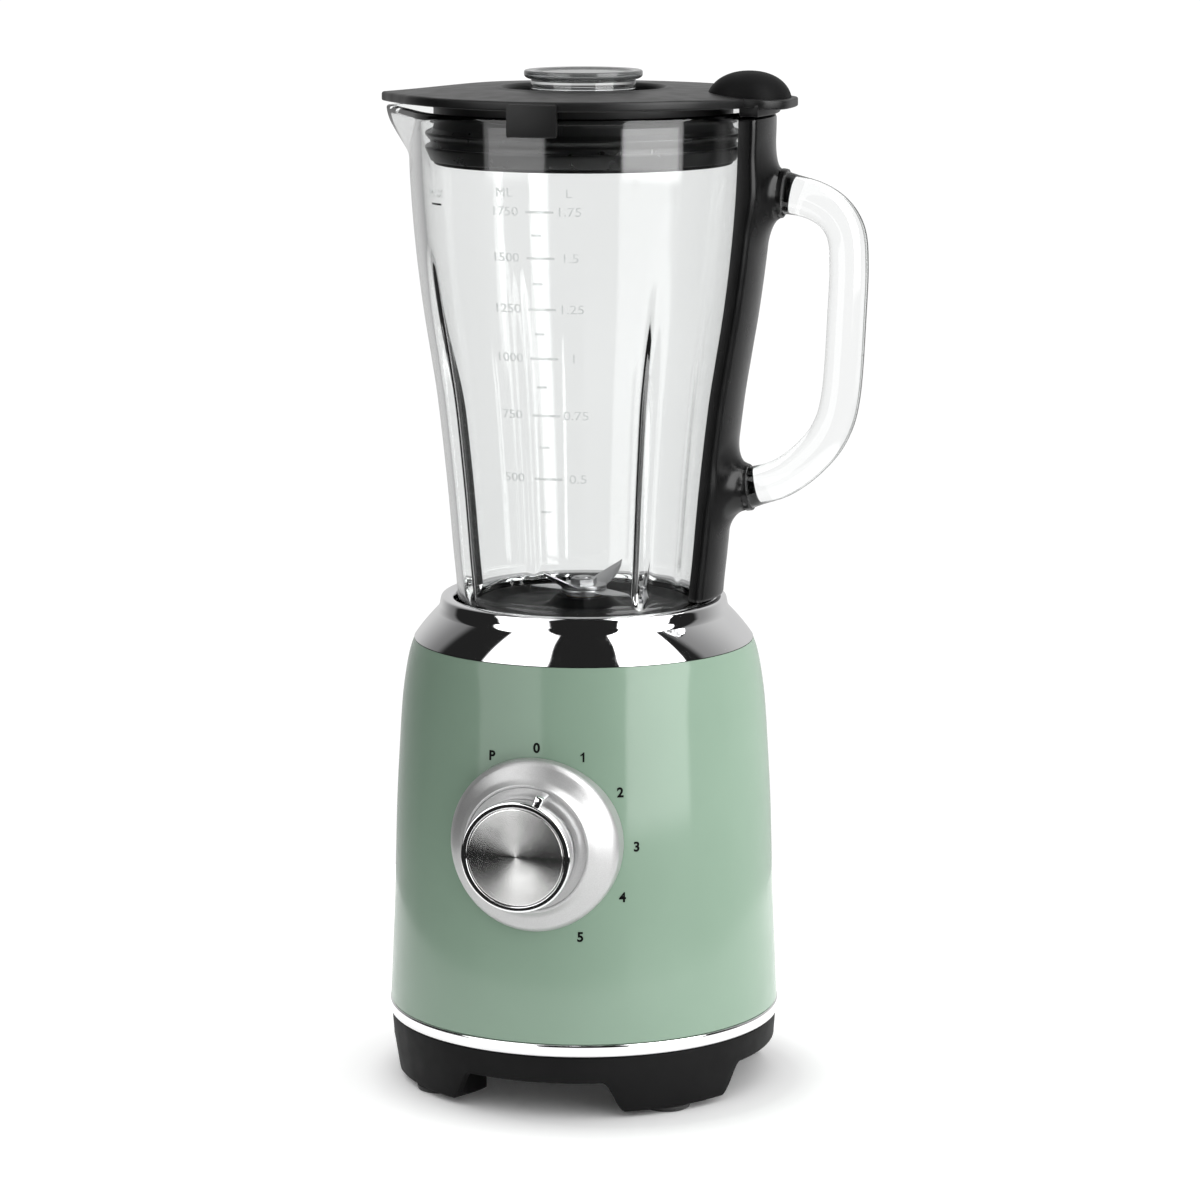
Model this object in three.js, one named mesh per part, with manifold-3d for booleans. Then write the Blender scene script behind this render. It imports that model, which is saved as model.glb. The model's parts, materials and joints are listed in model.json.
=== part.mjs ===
// A countertop blender: a motor base with a speed dial, and the glass jar that lifts off it, with
// its blades, lid and measuring cap.
// Millimetres, +Z up. The dial faces -Y, the handle is at +X and the spout at -X.
// Everything is laid out about the vertical drive axis, then moved so that the middle of the
// blender's outline is over the origin.
import * as THREE from "three";
import { mergeVertices } from "three/addons/utils/BufferGeometryUtils.js";
import Module from "manifold-3d";

const wasm = await Module();
wasm.setup();

// ---- Driving dimensions ----

const GAP = 0.3; // left between neighbours that touch on the real machine
const OPEN = 40; // sides of the jar and its lid, a multiple of eight for the jar's four ribs
const ROUND = 28; // sides of the other large turned pieces
const FINE = 14; // sides of a small turned piece

const HANDLE_REACH = 118.5; // drive axis to the outside of the glass handle
const SPOUT_REACH = 85.5; // drive axis to the tip of the lid's spout
const BODY_FRONT = 77.5; // drive axis to the body's front at the dial's height
const DIAL_STANDOFF = 24; // body's front to the knob's face
const GLAND_REACH = 83; // drive axis to the back of the cord gland

const PAD_ORBIT = 68; // drive axis to the middle of a rubber foot
const PAD_RADIUS = 9.5;
const PAD_HEIGHT = 2.4;
const SKIRT_TOP = 26.1;
const ARCH_TOP = 15; // top of the openings between the feet
const PLATE_BOTTOM = 16;
const PLATE_THICK = 2.4;
const SCREW_ORBIT = 66;
const RING_BOTTOM = 26.4;
const RING_TOP = 31.6;
const SHELL_TOP = 183.4;
const SHELL_WALL = 2.2;
const GLAND_HEIGHT = 46;
const DIAL_HEIGHT = 113;
const BEZEL_RADIUS = 35.7;
const BEZEL_NECK = 25.4;
const BEZEL_HOLE = 12;
const KNOB_RADIUS = 22;
const POINTER_ANGLE = 21; // degrees clockwise from straight up, seen from the front

const NECK_INNER = 53.2;
const NECK_TOP = 201.4;
const FLANGE_BOTTOM = 180; // the seat's flange, on the shell's ledge
const SEAT_FLOOR = 165;
const SEAT_LEDGE = 169.6;

const SHAFT_RADIUS = 4;
const SHAFT_HOLE = 4.3;
const STATOR_BOTTOM = 89;
const STATOR_TOP = 129;
const STATOR_SIDE = 66;
const ARMATURE_RADIUS = 23.2;
const COIL_INNER = 24.4;
const COIL_OUTER = 30.4;
const BRACKET_LEG = 27; // drive axis to the middle of a bracket's leg, along X and along Y
const UPPER_BRACKET = 144;
const LOWER_BRACKET = 52;
const BEARING_HEIGHT = 7;
const BEARING_RADIUS = 11;

const JAR_FOOT = 170;
const JAR_FLOOR_BOTTOM = 182.5;
const JAR_FLOOR_TOP = 191;
const JAR_TOP = 400;
const JAR_WALL = 5;
const JAR_HOLE = 30;
const HANDLE_RADIUS = 8;
const SPINE_HALF_WIDTH = 19;
const SPINE_BOTTOM = 202.2;
const SPINE_TOP = 398.4;

const LID_RIM_BOTTOM = 403.8;
const LID_RIM_TOP = 406.9;
const LID_RADIUS = 74;
const LID_CREST = 408.7;
const LID_SKIRT = 60.5;
const LID_BOTTOM = 378.5;
const TONGUE_HALF_WIDTH = 20;
const CAP_HOLE = 21.7;
const RECESS_FLOOR = 405;
const CAP_TOP = 415.4;

// The drive axis, placed so that the outline's middle is at X = 0 and Y = 0.
const DRIVE_X = (SPOUT_REACH - HANDLE_REACH) / 2;
const DRIVE_Y = (BODY_FRONT + DIAL_STANDOFF - GLAND_REACH) / 2;

// Outlines as radius and height, smoothed by a spline.
const BODY_OUTLINE = smooth(
  [[80.6, 31.9], [79.7, 52], [78.6, 76], [77.5, 113], [76.3, 136], [74.9, 157], [73.3, 169.5],
    [71.6, 178], [69.8, SHELL_TOP]],
  7,
);
const JAR_OUTLINE = smooth(
  [[50.8, 172.4], [52, 202.7], [53.6, 221], [55.9, 248.5], [59.4, 281.5], [62.1, 300],
    [65.3, 321], [68.1, 346], [69.7, 370], [70.6, 391], [70.7, 398]],
  8,
);

// ---- Materials ----

const paint = (color, roughness, metalness = 0) =>
  new THREE.MeshStandardMaterial({ color, roughness, metalness });
const MATERIALS = {
  enamel: paint(0x8ea793, 0.25),
  chrome: paint(0xd8d8d8, 0.08, 1),
  satinSilver: paint(0xc4c4c4, 0.35, 1),
  blackPlastic: paint(0x1c1c1c, 0.4),
  rubber: paint(0x141414, 0.8),
  glass: new THREE.MeshStandardMaterial({
    color: 0xe8eceb, roughness: 0.03, transparent: true, opacity: 0.35,
  }),
  clearPlastic: new THREE.MeshStandardMaterial({
    color: 0xdadada, roughness: 0.08, transparent: true, opacity: 0.4,
  }),
  steel: paint(0xa8a8a8, 0.3, 1),
  silicone: paint(0x202020, 0.6),
  aluminium: paint(0xb4b6b8, 0.5, 1),
  laminate: paint(0x6e7072, 0.5, 1),
  copper: paint(0xb4622e, 0.35, 1),
  bronze: paint(0xa57a45, 0.4, 1),
  carbon: paint(0x2a2a2c, 0.7),
  board: paint(0x1f5b36, 0.5),
};

// ---- Tools ----

function smooth(points, steps) {
  const curve = new THREE.SplineCurve(points.map(([r, z]) => new THREE.Vector2(r, z)));
  return curve.getPoints(steps).map((p) => [p.x, p.y]);
}

// The radius of an outline at a height, between its nearest two points.
function radiusAt(outline, z) {
  const top = outline.findIndex(([, height]) => height >= z);
  if (top === 0) return outline[0][0];
  if (top < 0) return outline[outline.length - 1][0];
  const [[r0, z0], [r1, z1]] = [outline[top - 1], outline[top]];
  return r0 + ((r1 - r0) * (z - z0)) / (z1 - z0);
}

const widened = (outline, by) => outline.map(([r, z]) => [r + by, z]);
const polar = (radius, degrees) => {
  const angle = THREE.MathUtils.degToRad(degrees);
  return [radius * Math.cos(angle), radius * Math.sin(angle)];
};

// A closed geometry as a manifold-3d solid, its faces turned outwards.
function solidOf(geometry) {
  const bare = new THREE.BufferGeometry().setAttribute("position", geometry.attributes.position);
  if (geometry.index) bare.setIndex(geometry.index);
  const merged = mergeVertices(bare, 1e-3);
  const position = merged.attributes.position;
  const corner = new THREE.Vector3();
  const at = (i) => corner.fromBufferAttribute(position, i).clone();
  const triangles = [];
  let volume = 0;
  for (let i = 0; i < merged.index.count; i += 3) {
    const [a, b, c] = [0, 1, 2].map((k) => merged.index.getX(i + k));
    if (a === b || b === c || c === a) continue;
    triangles.push([a, b, c]);
    volume += at(a).dot(at(b).cross(at(c)));
  }
  const facing = volume < 0 ? triangles.map(([a, b, c]) => [a, c, b]) : triangles;
  const mesh = new wasm.Mesh({
    numProp: 3,
    vertProperties: position.array,
    triVerts: new Uint32Array(facing.flat()),
  });
  return new wasm.Manifold(mesh);
}

// A manifold-3d solid as a flat-shaded geometry.
function geometryOf(solid) {
  const mesh = solid.getMesh();
  const geometry = new THREE.BufferGeometry();
  geometry.setAttribute("position", new THREE.BufferAttribute(mesh.vertProperties, 3));
  geometry.setIndex(new THREE.BufferAttribute(mesh.triVerts, 1));
  const flat = geometry.toNonIndexed();
  flat.computeVertexNormals();
  return flat;
}

const joined = (...solids) => solids.reduce((a, b) => a.add(b));
const cut = (solid, ...tools) => tools.reduce((a, b) => a.subtract(b), solid);

function latheGeometry(profile, sides) {
  const points = profile.map(([r, z]) => new THREE.Vector2(r, z));
  if (profile[0][0] > 0) points.push(points[0].clone());
  return new THREE.LatheGeometry(points, sides);
}

// A profile of radius and height, turned about the drive axis.
const turned = (profile, sides = ROUND) =>
  solidOf(latheGeometry(profile, sides).rotateX(Math.PI / 2));

// A profile of radius and distance in front of the body, turned about the dial's axis.
const dialTurned = (profile, sides = ROUND) =>
  solidOf(latheGeometry(profile, sides).scale(1, -1, 1).translate(0, -BODY_FRONT, DIAL_HEIGHT));

const tube = (inner, outer, bottom, top, sides = FINE) =>
  turned([[inner, bottom], [outer, bottom], [outer, top], [inner, top]], sides);

function rod(radius, bottom, top, x = 0, y = 0, sides = FINE) {
  const geometry = new THREE.CylinderGeometry(radius, radius, top - bottom, sides);
  return solidOf(geometry.rotateX(Math.PI / 2).translate(x, y, (bottom + top) / 2));
}

// A block given by its lowest and highest corners.
function block([x0, y0, z0], [x1, y1, z1]) {
  const geometry = new THREE.BoxGeometry(x1 - x0, y1 - y0, z1 - z0);
  return solidOf(geometry.translate((x0 + x1) / 2, (y0 + y1) / 2, (z0 + z1) / 2));
}

function upright(shape, bottom, top, curveSegments = 6) {
  const options = { depth: top - bottom, bevelEnabled: false, curveSegments };
  return solidOf(new THREE.ExtrudeGeometry(shape, options).translate(0, 0, bottom));
}

// A slice of a ring between two angles in degrees.
function sector(inner, outer, from, to, bottom, top) {
  const shape = new THREE.Shape();
  const [start, end] = [from, to].map(THREE.MathUtils.degToRad);
  shape.absarc(0, 0, outer, start, end, false);
  shape.absarc(0, 0, inner, end, start, true);
  shape.closePath();
  return upright(shape, bottom, top, 4);
}

// A round bar along a path.
function bar(curve, radius, steps, sides = 10) {
  const outline = Array.from({ length: sides }, (_, i) => {
    const [x, y] = polar(radius, (360 * i) / sides);
    return new THREE.Vector2(x, y);
  });
  const options = { steps, extrudePath: curve, bevelEnabled: false };
  return solidOf(new THREE.ExtrudeGeometry(new THREE.Shape(outline), options));
}

// A lobed outline, as on the two halves of the drive coupling.
function lobed(outer, inner, lobes) {
  const points = Array.from({ length: lobes * 4 }, (_, i) => {
    const [x, y] = polar(i % 4 < 2 ? outer : inner, (360 * (i + 0.5)) / (lobes * 4));
    return new THREE.Vector2(x, y);
  });
  return new THREE.Shape(points);
}

// The pull of a pouring spout: how far a rim of this radius reaches at an angle from the spout's
// middle, when two straight sides run from the tip to touch the rim.
function spoutRadius(rim, tip, degrees) {
  const touch = THREE.MathUtils.radToDeg(Math.acos(rim / tip));
  const away = Math.abs(degrees);
  if (away >= touch) return rim;
  return rim / Math.cos(THREE.MathUtils.degToRad(touch - away));
}

// Moves each point of a lathe in or out: shift gets the radius, the height, the angle from the
// front and the number of the profile's point.
function reshape(profile, sides, shift) {
  const geometry = latheGeometry(profile, sides);
  const position = geometry.attributes.position;
  const count = profile.length + (profile[0][0] > 0 ? 1 : 0);
  for (let i = 0; i < position.count; i++) {
    const [x, z, y] = [position.getX(i), position.getY(i), position.getZ(i)];
    const radius = Math.hypot(x, y);
    const angle = THREE.MathUtils.radToDeg(Math.atan2(x, y));
    const grown = shift(radius, z, angle, (i % count) % profile.length) / (radius || 1);
    position.setXYZ(i, x * grown, z, y * grown);
  }
  return solidOf(geometry.rotateX(Math.PI / 2));
}

const fromSpout = (angle) => THREE.MathUtils.euclideanModulo(angle + 90 + 180, 360) - 180;

const blender = new THREE.Group();
const machine = new THREE.Group();
machine.position.set(DRIVE_X, DRIVE_Y, 0);
blender.add(machine);

function add(name, solid, material) {
  const mesh = new THREE.Mesh(geometryOf(solid), material);
  mesh.name = name;
  machine.add(mesh);
}

// ---- Base ----

const CORNERS = { front_right: -45, rear_right: 45, rear_left: 135, front_left: -135 };
const SIDES = { right: 0, rear: 90, left: 180, front: -90 };

function baseSkirt() {
  const band = turned([
    [73.5, PAD_HEIGHT], [77.6, PAD_HEIGHT], [79.3, 14], [80.2, SKIRT_TOP], [77.2, SKIRT_TOP],
    [77.2, 29.6], [73.4, 29.6], [73.4, 19], [75.4, 19], [75, 13],
  ]);
  const arches = Object.values(SIDES).map((degrees) => {
    const outline = new THREE.Shape();
    outline.moveTo(-37, 0);
    outline.lineTo(-32.5, ARCH_TOP - 4);
    outline.quadraticCurveTo(-31.5, ARCH_TOP, -28, ARCH_TOP);
    outline.lineTo(28, ARCH_TOP);
    outline.quadraticCurveTo(31.5, ARCH_TOP, 32.5, ARCH_TOP - 4);
    outline.lineTo(37, 0);
    outline.closePath();
    const options = { depth: 40, bevelEnabled: false, curveSegments: 3 };
    const geometry = new THREE.ExtrudeGeometry(outline, options);
    geometry.rotateX(Math.PI / 2).rotateZ(Math.PI / 2).translate(50, 0, 0);
    return solidOf(geometry.rotateZ(THREE.MathUtils.degToRad(degrees)));
  });
  const padBores = Object.values(CORNERS).map((degrees) =>
    rod(3.2, 0, 12, ...polar(PAD_ORBIT, degrees), 12));
  const inside = turned([[0, 0], [75.5, 0], [75.5, 25], [0, 25]]);
  const blocks = Object.values(CORNERS).map((degrees) => {
    const [x, y] = polar(PAD_ORBIT - 3, degrees);
    return rod(12, PAD_HEIGHT, PLATE_BOTTOM - GAP, x, y, 16).intersect(inside);
  });
  return cut(joined(cut(band, ...arches), ...blocks), ...padBores);
}

function footPad(degrees) {
  const [x, y] = polar(PAD_ORBIT, degrees);
  const profile = [
    [0, 0], [PAD_RADIUS - 1.2, 0], [PAD_RADIUS, 1], [PAD_RADIUS, PAD_HEIGHT - GAP],
    [2.8, PAD_HEIGHT - GAP], [2.8, 10], [0, 10],
  ];
  return turned(profile, 16).translate([x, y, 0]);
}

function bottomPlate() {
  const disc = rod(74.6, PLATE_BOTTOM, PLATE_BOTTOM + PLATE_THICK, 0, 0, ROUND);
  const slots = Array.from({ length: 7 }, (_, i) => {
    const x = (i - 3) * 8;
    return block([x - 2, -22, 0], [x + 2, 22, 40]);
  });
  const holes = Object.values(SIDES).map((degrees) =>
    rod(2.4, 0, 40, ...polar(SCREW_ORBIT, degrees), 12));
  return cut(disc, ...slots, ...holes);
}

function baseScrew(degrees) {
  const [x, y] = polar(SCREW_ORBIT, degrees);
  const head = PLATE_BOTTOM - GAP;
  const profile = [
    [0, head - 1.4], [2.8, head - 1.4], [3.8, head], [2, head], [2, head + 16], [1, head + 18],
    [0, head + 18],
  ];
  return turned(profile, 8).translate([x, y, 0]);
}

function bodyShell() {
  const inner = widened(BODY_OUTLINE, -SHELL_WALL).reverse();
  const [ledge, ledgeBottom] = [FLANGE_BOTTOM - GAP, 177];
  const lip = [[69.8 - SHELL_WALL, 182], [68.6, ledge], [62.6, ledge], [62.6, ledgeBottom],
    [70.2, ledgeBottom]];
  const below = inner.filter(([, z]) => z < ledgeBottom - 1);
  const shell = turned([...BODY_OUTLINE, ...lip, ...below]);
  const posts = Object.values(SIDES).map((degrees) => {
    const post = rod(4.6, PLATE_BOTTOM + PLATE_THICK + GAP, 56, ...polar(SCREW_ORBIT, degrees), 12);
    const web = block([SCREW_ORBIT + 2, -1.5, 36], [78.6, 1.5, 56]);
    const bore = rod(2.3, 0, 41, ...polar(SCREW_ORBIT, degrees), 12);
    return cut(joined(post, web.rotate([0, 0, degrees])), bore);
  });
  const dialHole = dialTurned([[0, -12], [6, -12], [6, 4], [0, 4]], FINE);
  const glandHole = rod(6.1, 0, 20, 0, 0, FINE).rotate([-90, 0, 0]);
  return cut(joined(shell, ...posts), dialHole, glandHole.translate([0, 70, GLAND_HEIGHT]));
}

function trimRing() {
  return turned([
    [77.6, RING_BOTTOM], [80.4, RING_BOTTOM], [81, RING_BOTTOM + 1], [81, RING_TOP - 1],
    [80.6, RING_TOP], [77.6, RING_TOP],
  ]);
}

function chromeShoulder() {
  return turned([
    [69.8, SHELL_TOP + GAP], [66.6, 187.6], [63.2, 191.5], [60.2, 195.2], [59, 196.8],
    [58.5, 198.2], [58.4, 199.5], [57.6, 200.8], [56.2, NECK_TOP], [54.4, 200.9],
    [NECK_INNER, 199.4], [NECK_INNER, 197.6], [57, 197.6], [58.4, 195.4], [61.4, 191.7],
    [64.8, 187.6], [68, SHELL_TOP + GAP],
  ]);
}

function jarSeat() {
  const bowl = turned([
    [9, SEAT_FLOOR], [42, SEAT_FLOOR], [42.5, SEAT_LEDGE], [52.2, SEAT_LEDGE],
    [NECK_INNER, 197.2], [55.4, 197.2], [56, FLANGE_BOTTOM + 2], [65.6, FLANGE_BOTTOM + 2],
    [65.6, FLANGE_BOTTOM], [56, FLANGE_BOTTOM], [55, 166.6], [45, 166.6], [45, 162], [44, 162],
    [44, 156.3], [36, 156.3], [36, 162], [9, 162],
  ]);
  return cut(bowl, rod(2.9, 150, 190, ...PLUNGER_AT, 12));
}

function cordGland() {
  const profile = [[0, 72], [5.8, 72], [5.8, 80.6], [8.5, 80.6], [8.5, 81.6], [6.5, GLAND_REACH],
    [3.2, GLAND_REACH], [3.2, 75], [0, 75]];
  return turned(profile, FINE).rotate([-90, 0, 0]).translate([0, 0, GLAND_HEIGHT]);
}

// ---- Dial ----

// How far the body's surface lies in front of the body's foremost line, at a place on the dial.
const bodyDepth = (x, z) => Math.sqrt(radiusAt(BODY_OUTLINE, z) ** 2 - x ** 2) - BODY_FRONT;

// The bezel's back and its outer edge follow the round body; its middle is turned about the dial.
function dialBezel() {
  const front = [[BEZEL_HOLE, 8.6], [BEZEL_NECK - 0.6, 8.6], [BEZEL_NECK + 0.6, 9.4], [27, 8.2],
    [29, 6.2], [31.5, 4.8], [34, 3.8], [35.3, 3], [BEZEL_RADIUS, 1.8]];
  const back = [[BEZEL_RADIUS, 0], [31, 0], [24.9, 0], [18.5, 0], [BEZEL_HOLE, 0]];
  const profile = [...front, ...back].map(([r], i) => [r, i]);
  const heights = [...front, ...back].map(([, height]) => height);
  const geometry = latheGeometry(profile, ROUND);
  const position = geometry.attributes.position;
  for (let i = 0; i < position.count; i++) {
    const [x, step, up] = [position.getX(i), position.getY(i), position.getZ(i)];
    const radius = Math.hypot(x, up);
    const surface = bodyDepth(x, up + DIAL_HEIGHT) + GAP;
    const behind = step >= front.length;
    const follow = behind ? 1 : THREE.MathUtils.smoothstep(radius, 26, BEZEL_RADIUS - 1);
    position.setY(i, heights[step] + surface * follow);
  }
  return solidOf(geometry.scale(1, -1, 1).translate(0, -BODY_FRONT, DIAL_HEIGHT));
}

function dialKnob() {
  const face = DIAL_STANDOFF;
  const body = dialTurned([
    [0, 20], [3.4, 20], [3.4, 10], [21.6, 10], [KNOB_RADIUS, 11.5], [KNOB_RADIUS, face - 1.6],
    [21.6, face], [20.2, face], [19.9, face - 1.8], [0, face - 1.8],
  ]);
  const lug = block([-1.75, -BODY_FRONT - 20.5, 21.5], [1.75, -BODY_FRONT - 13, 25.3]);
  return joined(body, lug.rotate([0, POINTER_ANGLE, 0]).translate([0, 0, DIAL_HEIGHT]));
}

const dialFace = () =>
  dialTurned([
    [0, DIAL_STANDOFF - 1.5], [19.5, DIAL_STANDOFF - 1.5], [19.5, DIAL_STANDOFF - 0.2],
    [0, DIAL_STANDOFF - 1],
  ]);

const dialSpindle = () => dialTurned([[0, -20], [3, -20], [3, 19.6], [0, 19.6]], 16);

function rotarySwitch() {
  const box = block([-15, -70, DIAL_HEIGHT - 15], [15, -52, DIAL_HEIGHT + 15]);
  const nose = dialTurned([[0, -9], [5.4, -9], [5.4, -5], [0, -5]], FINE);
  const bore = dialTurned([[0, -22], [3.3, -22], [3.3, 0], [0, 0]], 16);
  return cut(joined(box, nose), bore);
}

// ---- Motor ----

function stator() {
  const half = STATOR_SIDE / 2;
  const outline = new THREE.Shape();
  outline.moveTo(-half + 8, -half);
  outline.lineTo(half - 8, -half);
  outline.lineTo(half, -half + 8);
  outline.lineTo(half, half - 8);
  outline.lineTo(half - 8, half);
  outline.lineTo(-half + 8, half);
  outline.lineTo(-half, half - 8);
  outline.lineTo(-half, -half + 8);
  outline.closePath();
  const pack = upright(outline, STATOR_BOTTOM, STATOR_TOP);
  const pockets = [0, 180].flatMap((turn) =>
    [[14, 41], [-41, -14]].map(([from, to]) =>
      sector(20, COIL_OUTER + 0.6, turn + from, turn + to, 0, 200)));
  return cut(pack, rod(ARMATURE_RADIUS + 0.6, 0, 200, 0, 0, 28), ...pockets);
}

// A field coil: two legs through the stator's pockets, joined by arches past its two ends.
function fieldCoil(turn) {
  const [low, high] = [STATOR_BOTTOM - 6, STATOR_TOP + 6];
  const arch = (bottom, top) => sector(COIL_INNER, COIL_OUTER, turn + 16, turn + 164, bottom, top);
  const leg = (from, to) => sector(COIL_INNER, COIL_OUTER, turn + from, turn + to, low, high);
  return joined(arch(low, STATOR_BOTTOM - 1), arch(STATOR_TOP + 1, high), leg(16, 38), leg(142, 164));
}

// A bearing bracket: a disc with four legs that reach to the stator.
function motorBracket(bottom, radius, legFrom, legTo) {
  const disc = tube(BEARING_RADIUS + GAP, radius, bottom, bottom + BEARING_HEIGHT, 32);
  const legs = [-1, 1].flatMap((x) =>
    [-1, 1].map((y) => {
      const [cx, cy] = [x * BRACKET_LEG, y * BRACKET_LEG];
      return block([cx - 4, cy - 4, legFrom], [cx + 4, cy + 4, legTo]);
    }));
  return joined(disc, ...legs);
}

const bearing = (bottom) =>
  tube(SHAFT_HOLE, BEARING_RADIUS, bottom, bottom + BEARING_HEIGHT);

function brushHolder(side) {
  const foot = block([22, -4, LOWER_BRACKET + BEARING_HEIGHT + GAP], [32, 4, 70]);
  const sleeve = block([13, -5, 68], [34, 5, 78]);
  const channel = block([0, -3.3, 69.7], [33, 3.3, 76.3]);
  return cut(joined(foot, sleeve), channel).rotate([0, 0, side]);
}

const carbonBrush = (side) => block([11.4, -3, 70], [28, 3, 76]).rotate([0, 0, side]);

function armatureCore() {
  const core = rod(ARMATURE_RADIUS, STATOR_BOTTOM + 1, STATOR_TOP - 1, 0, 0, 24);
  const slots = Array.from({ length: 12 }, (_, i) =>
    block([14, -1.2, 0], [30, 1.2, 200]).rotate([0, 0, i * 30 + 5]));
  return cut(core, ...slots, rod(SHAFT_HOLE, 0, 200));
}

function armatureWinding(near, far) {
  const middle = (near + far) / 2;
  return turned([[5, near], [19.5, near], [20, middle], [17, far], [5, far]], FINE);
}

function coolingFan() {
  const hub = tube(SHAFT_HOLE, 9, 36, 48);
  const disc = tube(SHAFT_HOLE, 35, 46.4, 48, 24);
  const vanes = Array.from({ length: 10 }, (_, i) =>
    block([8, -0.8, 37], [34.5, 0.8, 47]).rotate([0, 0, i * 36]));
  return joined(hub, disc, ...vanes);
}

// ---- Drive coupling and jar interlock ----

const COUPLING_TOP = 176;
const PLUNGER_AT = polar(48.5, 180);
const PLUNGER_TOP = JAR_FOOT - 0.6;
const SPRING_BOTTOM = 142.5;
const SPRING_TOP = 154;

function driveCoupling() {
  const cup = turned([[0, 165.6], [17, 165.6], [17, COUPLING_TOP - 1.5], [16, COUPLING_TOP],
    [0, COUPLING_TOP]], 24);
  const stem = rod(7.4, 154, 166, 0, 0, FINE);
  const socket = upright(lobed(12.8, 10.2, 6), 168.4, 190);
  return cut(joined(cup, stem), socket, rod(SHAFT_HOLE, 150, 166.6));
}

function drivenCoupling() {
  const star = upright(lobed(12, 9.4, 6), 168.8, 174.6);
  return cut(joined(star, rod(7.5, 174, 177.5)), rod(SHAFT_HOLE, 171.6, 190));
}

function interlockPlunger() {
  const [x, y] = PLUNGER_AT;
  const profile = [[0, 140], [2, 140], [2, SPRING_TOP + GAP], [3.8, SPRING_TOP + GAP],
    [3.8, SPRING_TOP + 1.8], [2.4, SPRING_TOP + 1.8], [2.4, PLUNGER_TOP - 1],
    [1.6, PLUNGER_TOP], [0, PLUNGER_TOP]];
  return turned(profile, 12).translate([x, y, 0]);
}

function interlockSpring() {
  const coil = new THREE.Curve();
  const [wire, radius, turns] = [0.5, 3.1, 5];
  coil.getPoint = (t, target = new THREE.Vector3()) => {
    const [x, y] = polar(radius, t * turns * 360);
    const z = SPRING_BOTTOM + wire + t * (SPRING_TOP - SPRING_BOTTOM - 2 * wire);
    return target.set(PLUNGER_AT[0] + x, PLUNGER_AT[1] + y, z);
  };
  return bar(coil, wire, turns * 9, 4);
}

function interlockSwitch() {
  const [x, y] = PLUNGER_AT;
  const shelf = block([x - 7, y - 7, SPRING_BOTTOM - 2.3], [x + 7, y + 7, SPRING_BOTTOM - GAP]);
  const body = block([x - 7, y - 7, 128], [x + 3, y + 7, 137]);
  const back = block([x - 7, y - 7, 128], [x - 4.5, y + 7, SPRING_BOTTOM - GAP]);
  return cut(joined(shelf, body, back), rod(2.8, 138, 144, x, y, 16));
}

// ---- Jar ----

const HANDLE_PATH = new THREE.CatmullRomCurve3(
  [[68, 369], [84, 367.4], [95.4, 365], [103.8, 360], [109, 352], [110.5, 340], [109.8, 322],
    [107.4, 288], [103, 272], [94, 260.5], [83, 252.4], [71, 248.4], [53, 246.4]]
    .map(([x, z]) => new THREE.Vector3(x, 0, z)),
);

const RIB_ANGLES = [45, 135, -135, -45];

function glassJar() {
  const outside = [...JAR_OUTLINE, [70.3, 399.6], [68.8, JAR_TOP]];
  const rimInside = [67, 399.4];
  const inside = widened(JAR_OUTLINE, -JAR_WALL).filter(([, z]) => z > 202).reverse();
  const bowl = [[46, 197], [43, 192.4], [39, JAR_FLOOR_TOP], [JAR_HOLE, JAR_FLOOR_TOP],
    [JAR_HOLE, JAR_FLOOR_BOTTOM], [44.5, JAR_FLOOR_BOTTOM], [44.5, 171], [45.5, JAR_FOOT],
    [49.5, JAR_FOOT], [50.6, 171]];
  const profile = [...outside, rimInside, ...inside, ...bowl];
  const lastOutside = outside.length;
  const [spoutFoot, spoutPull, ribFoot, ribTip] = [364, 12.8, 198, 338];
  const shift = (radius, z, angle, number) => {
    const pull = THREE.MathUtils.smoothstep(z, spoutFoot, JAR_TOP);
    const tip = radius + spoutPull * pull ** 1.5;
    const poured = pull > 0 ? spoutRadius(radius, tip, fromSpout(angle)) : radius;
    const ribbed = number > lastOutside && z > ribFoot && z < ribTip;
    if (!ribbed) return poured;
    const offRib = Math.min(...RIB_ANGLES.map((rib) => Math.abs(rib - angle)));
    const rise = THREE.MathUtils.smoothstep(ribTip - z, 0, 90);
    return poured - 6.5 * rise * Math.max(0, 1 - offRib / 5);
  };
  return joined(reshape(profile, OPEN, shift), bar(HANDLE_PATH, HANDLE_RADIUS, 20, 10));
}

// A trumpet-shaped boss that a root of the handle comes out of, and the hole through it. The
// mouth is at x and z, and faces outwards, raised by the tilt.
function handleBoss(x, z, tilt, length, mouth, foot) {
  const steps = 4;
  const flare = Array.from({ length: steps + 1 }, (_, i) => {
    const t = i / steps;
    return [mouth + (foot - mouth) * (1 - t) ** 2.2, -length * (1 - t)];
  });
  const place = (solid) => solid.rotate([0, 90 - tilt, 0]).translate([x, 0, z]);
  const boss = place(turned([[0, -length], ...flare, [0, 0]], FINE));
  return [boss, place(rod(HANDLE_RADIUS + 0.9, -30, 10, 0, 0, 12))];
}

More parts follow.
